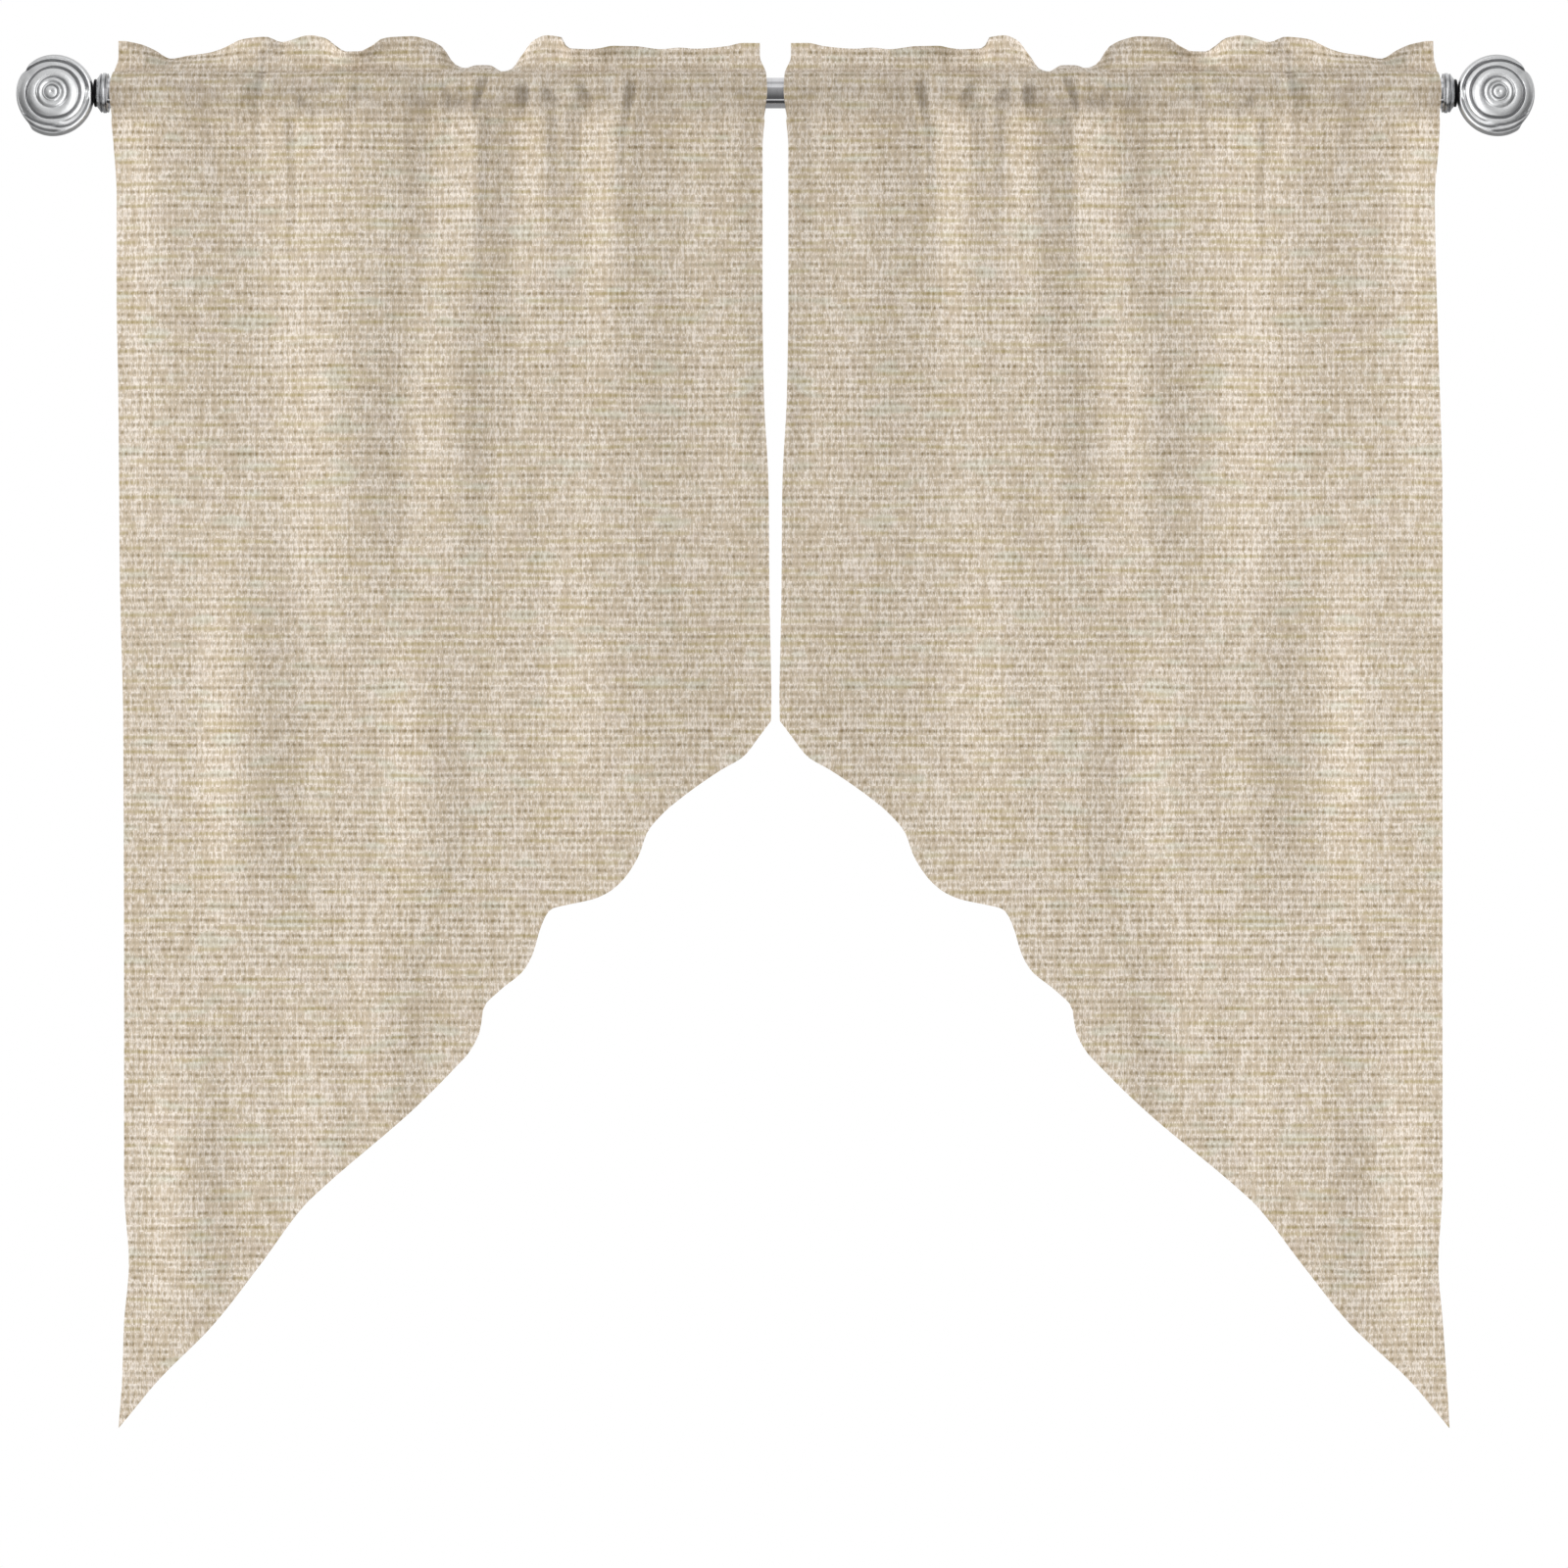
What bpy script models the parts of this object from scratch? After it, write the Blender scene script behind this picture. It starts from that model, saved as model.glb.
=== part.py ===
# Swag valance pair on a curtain rod: two cloth panels with a ruffled header, a rod pocket and a
# scalloped, slanting hem, hung on one plain rod between two collars and two spiral finials.
#
# Units are metres and +Z is up. The origin is on the rod's axis, midway between the finials, and
# the front faces -Y. The tables are in millimetres. In a panel's tables, "out" is the distance
# from the centre line, so that one set of numbers serves both panels.

import math
from bisect import bisect_right
from collections import namedtuple

import bmesh
import bpy
from mathutils import Matrix, Vector

MM = 0.001
GAP = 0.3  # between pieces that meet

# The rod and its ends
ROD_RADIUS = 10.0
COLLAR_START = 438.9  # distance out to the collar's open end
COLLAR_BORE = ROD_RADIUS + GAP
COLLAR_DEPTH = 4.0
NECK_RADIUS = 9.2
NECK_END = 446.4  # distance out to where the collar meets the finial's neck
NECK_LENGTH = 1.5
PIN_RADIUS = 4.2  # thin enough to stay inside the disc
PIN_END = 456.0
FINIAL_CENTRE = 475.3
FINIAL_BULGE = 10.5  # from the disc's middle plane to its front
FRONT_RISE = 1.08  # the middle of the disc's front, as a share of the bulge
BACK_RISE = 0.85  # the middle of its back

# The cloth
CLOTH_THICKNESS = 1.6
POCKET_RADIUS = 13.4  # the pocket's own radius round the rod, at the middle of the cloth
HEADER_SEAM = 12.4
POCKET_SEAM = -18.0
POCKET_STEPS = 5  # rows of faces round the rod, from seam to seam, front and back alike
HEADER_ROWS = 3
DROP_ROWS = 13
COLUMNS = 56
STATION_LEAN = 0.35  # how much a drop in the hem counts against a step outward, for the columns
FOLD_MIDDLE = 3.0  # the gathers stand this far forward on the whole, so the cloth hangs level
FLARE_POWER = 1.5  # the flare grows toward the outer edge by this power
GATHER_SPREAD = 0.5  # how much wider a gather is where it ends
POCKET_RIPPLE = 0.12  # how much of the gathers' depth carries on through the pocket's front
POCKET_FROM = -50  # where the cloth leaves the round of the rod, in degrees from level
POCKET_TO = 90
PINCH_HEIGHT = 0.55  # the pinches' middle, as a share of the way up the pocket
HEADER_CURVE = 1.4  # the header bends more toward its top edge by this power
SETTLE_DROP = 300.0  # the cloth has come back under the rod's axis by this far down

# The panels' side edges. The right panel's outer edge flares more than the left's.
Edge = namedtuple("Edge", "z inner outer_left outer_right")
EDGES = (
    Edge(38, 10.2, 432.3, 432.6),
    Edge(24, 10.2, 432.3, 433.2),
    Edge(13, 6.2, 435.4, 435.6),
    Edge(0, 5.4, 436.8, 436.8),
    Edge(-16, 7.7, 436.6, 436.8),
    Edge(-36, 9.3, 434.9, 435.9),
    Edge(-68, 9.3, 433.0, 433.4),
    Edge(-132, 9.3, 433.0, 434.6),
    Edge(-197, 8.4, 431.7, 436.5),
    Edge(-261, 5.3, 431.0, 438.0),
    Edge(-326, 4.8, 430.4, 438.1),
    Edge(-410, 3.4, 428.4, 438.1),
    Edge(-600, 3.4, 427.8, 438.1),
    Edge(-719, 3.4, 427.8, 438.1),
    Edge(-771, 3.4, 424.6, 435.4),
    Edge(-810, 3.4, 427.8, 438.4),
    Edge(-848, 3.4, 429.1, 441.0),
    Edge(-877, 3.4, 431.6, 442.9),
)

# The hem, from the inner corner down to the outer tip: a round bay, a lobe that ends in a corner,
# a small second lobe, and a long diagonal with a shallow wave.
Hem = namedtuple("Hem", "z out")
HEM = (
    Hem(-413, 3.4),
    Hem(-424, 12),
    Hem(-436, 21.5),
    Hem(-445, 36.5),
    Hem(-461, 59.5),
    Hem(-474, 75),
    Hem(-487, 85.5),
    Hem(-500, 90),
    Hem(-513, 97.5),
    Hem(-523, 107),
    Hem(-529, 118),
    Hem(-537, 149),
    Hem(-551, 156),
    Hem(-565, 160),
    Hem(-577, 166.5),
    Hem(-590, 182),
    Hem(-602, 193),
    Hem(-616, 195),
    Hem(-629, 201),
    Hem(-642, 212.5),
    Hem(-668, 238.5),
    Hem(-719, 297.5),
    Hem(-732, 311),
    Hem(-771, 340),
    Hem(-810, 370.5),
    Hem(-848, 408),
    Hem(-877, 431.6),
)

# The header's top edge: its height, and how far it leans back (+) or forward (-) there. It stands
# tall where it is upright and looks short where the ruffle leans.
Ruffle = namedtuple("Ruffle", "out top lean")
HEADER = (
    Ruffle(10, 32.8, -1),
    Ruffle(20, 33.0, 0),
    Ruffle(30, 31.0, 2),
    Ruffle(51, 29.5, 4),
    Ruffle(62, 30.2, 3),
    Ruffle(74, 29.2, 4),
    Ruffle(92, 31.0, 1),
    Ruffle(106, 30.8, -3),
    Ruffle(114, 28.6, -7),
    Ruffle(122, 27.6, -9),
    Ruffle(136, 28.2, -9),
    Ruffle(141, 36.5, -3),
    Ruffle(151, 38.0, 0),
    Ruffle(159, 35.0, 3),
    Ruffle(167, 26.0, 10),
    Ruffle(175, 17.6, 16),
    Ruffle(182, 15.8, 17),
    Ruffle(190, 19.8, 15),
    Ruffle(198, 19.8, 15),
    Ruffle(206, 17.8, 15),
    Ruffle(213, 20.3, 13),
    Ruffle(221, 31.0, 5),
    Ruffle(229, 35.0, 2),
    Ruffle(240, 37.3, -1),
    Ruffle(252, 36.8, -2),
    Ruffle(260, 35.3, -4),
    Ruffle(267, 30.0, -7),
    Ruffle(275, 26.0, -10),
    Ruffle(284, 25.8, -11),
    Ruffle(291, 30.0, -8),
    Ruffle(299, 36.2, -2),
    Ruffle(309, 38.1, 0),
    Ruffle(328, 33.9, 3),
    Ruffle(338, 37.0, 0),
    Ruffle(352, 36.0, 2),
    Ruffle(368, 30.0, 8),
    Ruffle(377, 27.5, 10),
    Ruffle(391, 25.7, 12),
    Ruffle(403, 23.8, 13),
    Ruffle(414, 29.2, 6),
    Ruffle(422, 32.3, 2),
    Ruffle(432, 34.2, -1),
)

# The soft folds that the pocket's gathers start. Each has a steep side toward the centre line and
# an easy side outward. Its crest may drift as it fades, from the pocket down to z_end.
Gather = namedtuple("Gather", "crest_top crest_end z_end easy steep height")
GATHERS = (
    Gather(26, 28, -260, 34, 18, 2.5),
    Gather(58, 54, -210, 30, 26, 2.0),
    Gather(101, 114, -420, 34, 48, 8.0),
    Gather(146, 148, -300, 27, 24, 4.4),
    Gather(195, 203, -380, 42, 26, 5.2),
    Gather(241, 250, -230, 26, 14, 2.2),
    Gather(274, 290, -420, 62, 46, 7.5),
    Gather(408, 398, -420, 32, 62, 6.0),
)

# The long shallow swells of the lower cloth, which grow and die away between two heights.
Swell = namedtuple("Swell", "crest z_start z_end easy steep height")
SWELLS = (
    Swell(108, -240, -560, 56, 95, 7.0),
    Swell(217, -60, -390, 38, 30, 4.8),
    Swell(237, -280, -620, 34, 36, 4.0),
    Swell(289, -70, -400, 42, 44, 5.2),
    Swell(358, -230, -620, 34, 48, 6.5),
    Swell(262, -480, -760, 34, 34, 4.0),
    Swell(300, -560, -760, 34, 34, 3.0),
    Swell(396, -560, -880, 34, 34, 4.5),
)

# Small pinches in the pocket, where the cloth bunches on the rod.
Pinch = namedtuple("Pinch", "out width depth")
PINCHES = (
    Pinch(42, 11, 0.9),
    Pinch(98, 10, 1.2),
    Pinch(130, 9, 1.1),
    Pinch(152, 9, 1.0),
    Pinch(167, 9, 1.2),
    Pinch(195, 10, 1.2),
    Pinch(276, 10, 1.1),
    Pinch(311, 10, 1.2),
    Pinch(340, 11, 1.0),
)

# The finial's outline as distances from its centre. Angles count from the side that faces the
# rod, up over the top, and the two low places are where the spiral's coils run out.
Rim = namedtuple("Rim", "angle radius")
RIM = (
    Rim(-219, 23.1),
    Rim(-208, 24.0),
    Rim(-180, 24.2),
    Rim(-155, 24.6),
    Rim(-130, 25.6),
    Rim(-118, 27.9),
    Rim(-95, 28.4),
    Rim(-45, 27.8),
    Rim(0, 27.1),
    Rim(45, 26.2),
    Rim(90, 25.2),
    Rim(128, 24.4),
    Rim(141, 23.1),
)

# The rings of the finial's disc, from the middle of its front to the middle of its back. The
# share is of the outline's radius, the follow says how much of the outline's shape the ring
# takes, and the rise is a share of the bulge, negative behind.
Ring = namedtuple("Ring", "share follow rise")
RINGS = (
    Ring(0.13, 0.0, 1.00),
    Ring(0.22, 0.0, 0.80),
    Ring(0.30, 0.0, 0.90),
    Ring(0.39, 0.1, 0.76),
    Ring(0.50, 0.2, 0.86),
    Ring(0.62, 0.4, 0.66),
    Ring(0.72, 0.5, 0.80),
    Ring(0.84, 0.7, 0.50),
    Ring(0.93, 0.9, 0.48),
    Ring(1.00, 1.0, 0.05),
    Ring(0.94, 1.0, -0.40),
    Ring(0.75, 0.6, -0.66),
    Ring(0.45, 0.2, -0.80),
)
RING_RADIUS = 25.8  # what the shares of the round inner rings are taken from
FINIAL_SEGMENTS = 40

# The collar's outer side, from its open end toward the finial: distance out and radius.
Turn = namedtuple("Turn", "out radius")
COLLAR = (
    Turn(COLLAR_START, 12.7),
    Turn(439.3, 12.9),
    Turn(439.7, 12.0),
    Turn(440.3, 13.1),
    Turn(442.2, 13.1),
    Turn(442.8, 12.0),
    Turn(443.4, 12.9),
    Turn(444.1, 12.4),
    Turn(445.2, 10.4),
    Turn(NECK_END, NECK_RADIUS),
)
COLLAR_SEGMENTS = 32
ROD_SEGMENTS = 48


def clear_scene():
    for ob in list(bpy.data.objects):
        bpy.data.objects.remove(ob, do_unlink=True)


def new_collection(name):
    collection = bpy.data.collections.new(name)
    bpy.context.scene.collection.children.link(collection)
    return collection


def material(name, colour, roughness, metallic):
    mat = bpy.data.materials.new(name)
    mat.use_nodes = True
    shader = mat.node_tree.nodes["Principled BSDF"]
    shader.inputs["Base Color"].default_value = (*colour, 1.0)
    shader.inputs["Roughness"].default_value = roughness
    shader.inputs["Metallic"].default_value = metallic
    return mat


def add_object(name, mesh, mat, collection):
    ob = bpy.data.objects.new(name, mesh)
    ob.data.materials.append(mat)
    collection.objects.link(ob)
    return ob


def mesh_from(bm, name):
    mesh = bpy.data.meshes.new(name)
    bm.to_mesh(mesh)
    bm.free()
    return mesh


def smooth_curve(points):
    """A smooth curve through (x, y) points with rising x, which never swings past them."""
    xs = [p[0] for p in points]
    ys = [p[1] for p in points]
    steps = [(ys[i + 1] - ys[i]) / (xs[i + 1] - xs[i]) for i in range(len(xs) - 1)]
    inner = [2 * a * b / (a + b) if a * b > 0 else 0.0 for a, b in zip(steps, steps[1:])]
    slopes = [steps[0], *inner, steps[-1]]

    def read(x):
        x = min(max(x, xs[0]), xs[-1])
        i = min(bisect_right(xs, x) - 1, len(xs) - 2)
        span = xs[i + 1] - xs[i]
        t = (x - xs[i]) / span
        a = ys[i] * (1 + 2 * t) * (1 - t) ** 2 + ys[i + 1] * (3 - 2 * t) * t * t
        return a + span * (slopes[i] * t * (1 - t) ** 2 - slopes[i + 1] * t * t * (1 - t))

    return read


def table_curve(rows, key, value):
    return smooth_curve(sorted((getattr(r, key), getattr(r, value)) for r in rows))


INNER = table_curve(EDGES, "z", "inner")
OUTER_LEFT = table_curve(EDGES, "z", "outer_left")
OUTER_RIGHT = table_curve(EDGES, "z", "outer_right")
HEM_OUT = table_curve(HEM, "z", "out")
HEADER_TOP = table_curve(HEADER, "out", "top")
HEADER_LEAN = table_curve(HEADER, "out", "lean")
HEM_TOP = HEM[0].z
HEM_TIP = HEM[-1].z


def bump(x):
    """1 at the middle, falling smoothly to 0 at a distance of 1."""
    return math.cos(0.5 * math.pi * x) ** 2 if abs(x) < 1 else 0.0


def ease(t):
    t = min(max(t, 0.0), 1.0)
    return t * t * (3 - 2 * t)


def gather_depth(out, z):
    """How far the gathers stand forward at a place on the cloth."""
    depth = 0.0
    for g in GATHERS:
        fall = min(max((POCKET_SEAM - z) / (POCKET_SEAM - g.z_end), 0.0), 1.0)
        past = out - (g.crest_top + (g.crest_end - g.crest_top) * fall)
        side = g.easy if past > 0 else g.steep
        depth += g.height * (1 - ease(fall)) * bump(past / (side * (1 + GATHER_SPREAD * fall)))
    return depth


def swell_depth(out, z):
    depth = 0.0
    for s in SWELLS:
        if s.z_end < z < s.z_start:
            along = math.sin(math.pi * (s.z_start - z) / (s.z_start - s.z_end)) ** 2
            past = out - s.crest
            depth += s.height * along * bump(past / (s.easy if past > 0 else s.steep))
    return depth


def hang_depth(out, z):
    """The cloth's place in depth below the pocket, with the rod's axis at 0."""
    settle = ease((POCKET_SEAM - z) / SETTLE_DROP)
    return FOLD_MIDDLE * (1 - settle) - gather_depth(out, z) - swell_depth(out, z)


def pinch_depth(out):
    return sum(p.depth * bump((out - p.out) / p.width) for p in PINCHES)


def pocket_point(out, share, front):
    """Depth and height in the pocket: share runs from the lower seam up to the header seam."""
    if share == 0:
        return hang_depth(out, POCKET_SEAM), POCKET_SEAM
    if share == 1:
        return 0.0, HEADER_SEAM
    angle = math.radians(POCKET_FROM + (POCKET_TO - POCKET_FROM) * share)
    if not front:
        return POCKET_RADIUS * math.cos(angle), POCKET_RADIUS * math.sin(angle)
    radius = POCKET_RADIUS + POCKET_RIPPLE * gather_depth(out, POCKET_SEAM)
    pinch = pinch_depth(out) * bump(2 * (share - PINCH_HEIGHT))
    return pinch - radius * math.cos(angle), radius * math.sin(angle)


def header_point(out, share):
    """Depth and height in the ruffle above the header seam."""
    top = HEADER_TOP(out)
    return HEADER_LEAN(out) * share**HEADER_CURVE, HEADER_SEAM + (top - HEADER_SEAM) * share


def hem_stations(count):
    """Heights along the hem, spread so that steep places get their share of the columns."""
    samples = 2000
    heights = [HEM_TOP + (HEM_TIP - HEM_TOP) * i / samples for i in range(samples + 1)]
    run = [0.0]
    for a, b in zip(heights, heights[1:]):
        run.append(run[-1] + math.hypot(HEM_OUT(b) - HEM_OUT(a), STATION_LEAN * (b - a)))
    at = smooth_curve(list(zip(run, heights)))
    return [at(run[-1] * i / count) for i in range(count + 1)]


def across(z, share, right):
    """The distance out at a height, for a share of the way from the inner to the outer edge."""
    inner = INNER(z)
    left = inner + share * (OUTER_LEFT(z) - inner)
    if not right:
        return left
    return left + (OUTER_RIGHT(z) - OUTER_LEFT(z)) * share**FLARE_POWER


def sheet_grid(columns, rows, place):
    """A grid of faces whose vertex in column i and row j stands where place(i, j) says."""
    bm = bmesh.new()
    bmesh.ops.create_grid(bm, x_segments=columns, y_segments=rows, size=1.0)
    for v in bm.verts:
        i = round((v.co.x + 1) / 2 * columns)
        j = round((v.co.y + 1) / 2 * rows)
        v.co = place(i, j)
    return bm


def panel_mesh(name, right):
    """The middle surface of one panel: a front sheet from hem to header, and the pocket's back."""
    sign = 1 if right else -1
    hem = hem_stations(COLUMNS)
    shares = [(HEM_OUT(z) - INNER(z)) / (OUTER_LEFT(z) - INNER(z)) for z in hem]
    face_width = OUTER_LEFT(POCKET_SEAM) - INNER(POCKET_SEAM)
    own = [INNER(POCKET_SEAM) + s * face_width for s in shares]  # where folds and ruffles are read

    def in_space(i, depth, z):
        return Vector((sign * across(z, shares[i], right), depth, z)) * MM

    def front_sheet(i, j):
        if j < DROP_ROWS:
            z = hem[i] + (POCKET_SEAM - hem[i]) * j / DROP_ROWS
            return in_space(i, hang_depth(own[i], z), z)
        if j <= DROP_ROWS + POCKET_STEPS:
            depth, z = pocket_point(own[i], (j - DROP_ROWS) / POCKET_STEPS, front=True)
            return in_space(i, depth, z)
        depth, z = header_point(own[i], (j - DROP_ROWS - POCKET_STEPS) / HEADER_ROWS)
        return in_space(i, depth, z)

    def back_sheet(i, j):
        depth, z = pocket_point(own[i], j / POCKET_STEPS, front=False)
        return in_space(i, depth, z)

    bm = sheet_grid(COLUMNS, DROP_ROWS + POCKET_STEPS + HEADER_ROWS, front_sheet)
    mesh = mesh_from(sheet_grid(COLUMNS, POCKET_STEPS, back_sheet), name + "_pocket_back")
    bm.from_mesh(mesh)
    bpy.data.meshes.remove(mesh)
    bmesh.ops.remove_doubles(bm, verts=bm.verts, dist=0.00001)
    return mesh_from(bm, name)


def add_panel(name, right, mat, collection):
    ob = add_object(name, panel_mesh(name, right), mat, collection)
    thick = ob.modifiers.new("Cloth thickness", "SOLIDIFY")
    thick.solidify_mode = "NON_MANIFOLD"
    thick.nonmanifold_thickness_mode = "CONSTRAINTS"
    thick.nonmanifold_boundary_mode = "NONE"
    thick.thickness = CLOTH_THICKNESS * MM
    thick.offset = 0.0
    return ob


def add_rod(mat, collection):
    length = 2 * (COLLAR_START + COLLAR_DEPTH - GAP)
    bm = bmesh.new()
    bmesh.ops.create_cone(
        bm,
        cap_ends=True,
        segments=ROD_SEGMENTS,
        radius1=ROD_RADIUS * MM,
        radius2=ROD_RADIUS * MM,
        depth=length * MM,
        matrix=Matrix.Rotation(math.pi / 2, 4, "Y"),
    )
    mesh = mesh_from(bm, "rod")
    mesh.shade_smooth()
    mesh.set_sharp_from_angle(angle=math.radians(40))
    return add_object("rod", mesh, mat, collection)


def add_turned(name, profile, side, mat, collection):
    """Spins (distance out, radius) points round the rod's axis, on one side of the middle."""
    start = profile[0][0]
    bm = bmesh.new()
    verts = [bm.verts.new((radius * MM, 0, -(out - start) * MM)) for out, radius in profile]
    for a, b in zip(verts, verts[1:]):
        bm.edges.new((a, b))
    ob = add_object(name, mesh_from(bm, name), mat, collection)
    turn = ob.modifiers.new("Turned", "SCREW")
    turn.steps = turn.render_steps = COLLAR_SEGMENTS
    turn.use_merge_vertices = True
    turn.merge_threshold = 0.00001
    ob.rotation_euler = (0, -side * math.pi / 2, 0)
    ob.location = (side * start * MM, 0, 0)
    return ob


def add_collar(name, side, mat, collection):
    """A turned collar: a socket over the rod's end, two grooves, and a waist at the finial."""
    bottom = COLLAR_START + COLLAR_DEPTH
    profile = [(bottom, 0.0), (bottom, COLLAR_BORE), (COLLAR_START, COLLAR_BORE)]
    profile += [(turn.out, turn.radius) for turn in COLLAR]
    profile += [(COLLAR[-1].out, 0.0)]
    return add_turned(name, profile, side, mat, collection)


def ring_place(ring, angle, rim):
    """A point of the disc on one ring: distance toward the rod, distance up, and height."""
    degrees = math.degrees(angle)
    if degrees > RIM[-1].angle:
        degrees -= 360
    radius = ring.share * (RING_RADIUS + ring.follow * (rim(degrees) - RING_RADIUS))
    return radius * math.cos(angle), radius * math.sin(angle), ring.rise * FINIAL_BULGE


def finial_mesh(name, side):
    """A disc with ring-shaped ridges that faces the front. It starts as a sphere, whose circles
    become the rings."""
    rim = table_curve(RIM, "angle", "radius")
    poles = {0: FINIAL_BULGE * FRONT_RISE, len(RINGS) + 1: -FINIAL_BULGE * BACK_RISE}
    bm = bmesh.new()
    bmesh.ops.create_uvsphere(bm, u_segments=FINIAL_SEGMENTS, v_segments=len(RINGS) + 1, radius=1)
    for v in bm.verts:
        circle = round(math.acos(min(max(v.co.z, -1.0), 1.0)) / math.pi * (len(RINGS) + 1))
        if circle in poles:
            toward, up, height = 0.0, 0.0, poles[circle]
        else:
            angle = math.atan2(v.co.y, v.co.x)
            toward, up, height = ring_place(RINGS[circle - 1], angle, rim)
        v.co = Vector((side * (FINIAL_CENTRE - toward), -height, up)) * MM
    bmesh.ops.recalc_face_normals(bm, faces=bm.faces)
    return mesh_from(bm, name)


def add_neck(name, side, mat, cutters):
    """The short neck behind the disc and the pin that holds it, for the union with the disc."""
    start = NECK_END + GAP
    end = start + NECK_LENGTH
    profile = [(start, 0.0), (start, NECK_RADIUS), (end, NECK_RADIUS)]
    profile += [(end + GAP, PIN_RADIUS), (PIN_END, PIN_RADIUS), (PIN_END, 0.0)]
    ob = add_turned(name, profile, side, mat, cutters)
    ob.hide_render = True
    ob.display_type = "WIRE"
    return ob


def add_finial(name, side, mat, collection, cutters):
    ob = add_object(name, finial_mesh(name, side), mat, collection)
    union = ob.modifiers.new("Neck", "BOOLEAN")
    union.operation = "UNION"
    union.object = add_neck(name + "_neck", side, mat, cutters)
    return ob


def main():
    clear_scene()
    parts = new_collection("swag_valance")
    cutters = new_collection("cutters")
    cloth = material("cloth", (0.60, 0.52, 0.42), 0.9, 0.0)
    bar = material("rod_metal", (0.75, 0.75, 0.77), 0.2, 1.0)
    brushed = material("finial_metal", (0.62, 0.63, 0.64), 0.35, 1.0)
    add_panel("panel_left", False, cloth, parts)
    add_panel("panel_right", True, cloth, parts)
    add_rod(bar, parts)
    for end, side in (("left", -1), ("right", 1)):
        add_collar("collar_" + end, side, brushed, parts)
        add_finial("finial_" + end, side, brushed, parts, cutters)


main()
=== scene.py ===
# %% [markdown]
# # A pair of swag valances on a curtain rod
# The real object is two linen-look panels, each with a ruffle above a sewn rod pocket and a scalloped hem
# that falls away to a long outer point. They hang on one nickel rod with a spiral finial at each end. The
# frame is a plain imported model of it, and each cell makes one piece or one finish. We load the frame
# first, and read the box of a part from it where we need one. Nothing that we add may grow past it.

import math
from bisect import bisect_right
from collections import namedtuple
from functools import partial, reduce
from itertools import product

import bmesh
import bpy
from mathutils import Matrix, Vector, noise


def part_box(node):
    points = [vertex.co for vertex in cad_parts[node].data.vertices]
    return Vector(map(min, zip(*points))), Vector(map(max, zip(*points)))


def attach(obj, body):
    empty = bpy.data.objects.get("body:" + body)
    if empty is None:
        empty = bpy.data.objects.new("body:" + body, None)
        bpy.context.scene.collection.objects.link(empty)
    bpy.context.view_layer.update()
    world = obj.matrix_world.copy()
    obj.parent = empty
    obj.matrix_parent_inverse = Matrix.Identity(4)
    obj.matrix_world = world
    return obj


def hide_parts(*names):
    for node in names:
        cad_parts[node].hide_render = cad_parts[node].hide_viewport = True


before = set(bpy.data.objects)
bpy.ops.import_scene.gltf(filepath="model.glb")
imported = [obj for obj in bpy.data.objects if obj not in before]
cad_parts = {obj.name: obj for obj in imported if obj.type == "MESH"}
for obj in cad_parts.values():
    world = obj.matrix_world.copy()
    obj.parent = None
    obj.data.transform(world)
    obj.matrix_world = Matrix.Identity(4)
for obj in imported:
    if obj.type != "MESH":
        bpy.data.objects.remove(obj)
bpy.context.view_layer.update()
MM = 0.001

# %% [markdown]
# ## The camera
# The photograph looks straight at the valance with hardly any perspective. An orthographic camera
# could do that, but a long lens from far away keeps a little depth in the folds. The rod is 31
# pixels thick in the photograph and 20 mm in life, which gives the scale. The camera aims at the
# middle of the picture, which lies below the rod.

# %% Place the camera
PHOTO_SIDE = 1600
MM_PER_PIXEL = 0.645
ROD_AXIS_PIXEL = (791.25, 95.0)  # where the middle of the rod stands in the photograph
LENS = 135.0
SENSOR = 36.0

aim_x = (PHOTO_SIDE / 2 - ROD_AXIS_PIXEL[0]) * MM_PER_PIXEL * MM
aim_z = (ROD_AXIS_PIXEL[1] - PHOTO_SIDE / 2) * MM_PER_PIXEL * MM
distance = PHOTO_SIDE * MM_PER_PIXEL * MM * LENS / SENSOR


def new_object(name, data):
    ob = bpy.data.objects.new(name, data)
    bpy.context.scene.collection.objects.link(ob)
    return ob


camera = new_object("camera", bpy.data.cameras.new("camera"))
camera.data.lens = LENS
camera.data.sensor_width = SENSOR
camera.location = (aim_x, -distance, aim_z)
camera.rotation_euler = (math.pi / 2, 0, 0)
bpy.context.scene.camera = camera
print("camera distance in m:", round(distance, 2))

# %% [markdown]
# ## Curves through a few measured places
# Hung cloth is smooth, yet it is measured at single places. A curve object could join them, but we
# need the height at any distance, so we read between the points with a cubic that never swings
# past its neighbours. All tables are in millimetres. In a panel's tables, "out" is the distance
# from the centre line, so one set of numbers serves both.


# %% Read a smooth curve
def smooth_curve(points):
    """A smooth curve through (x, y) points with rising x, which never swings past them."""
    xs = [p[0] for p in points]
    ys = [p[1] for p in points]
    steps = [(ys[i + 1] - ys[i]) / (xs[i + 1] - xs[i]) for i in range(len(xs) - 1)]
    inner = [2 * a * b / (a + b) if a * b > 0 else 0.0 for a, b in zip(steps, steps[1:])]
    slopes = [steps[0], *inner, steps[-1]]

    def read(x):
        x = min(max(x, xs[0]), xs[-1])
        i = min(bisect_right(xs, x) - 1, len(xs) - 2)
        span = xs[i + 1] - xs[i]
        t = (x - xs[i]) / span
        a = ys[i] * (1 + 2 * t) * (1 - t) ** 2 + ys[i + 1] * (3 - 2 * t) * t * t
        return a + span * (slopes[i] * t * (1 - t) ** 2 - slopes[i + 1] * t * t * (1 - t))

    return read


def rows(kind, *values):
    """A table: each row of values becomes one of the named tuples."""
    return [kind(*v) for v in values]


def table_curve(table, key, value):
    return smooth_curve(sorted((getattr(r, key), getattr(r, value)) for r in table))


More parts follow.
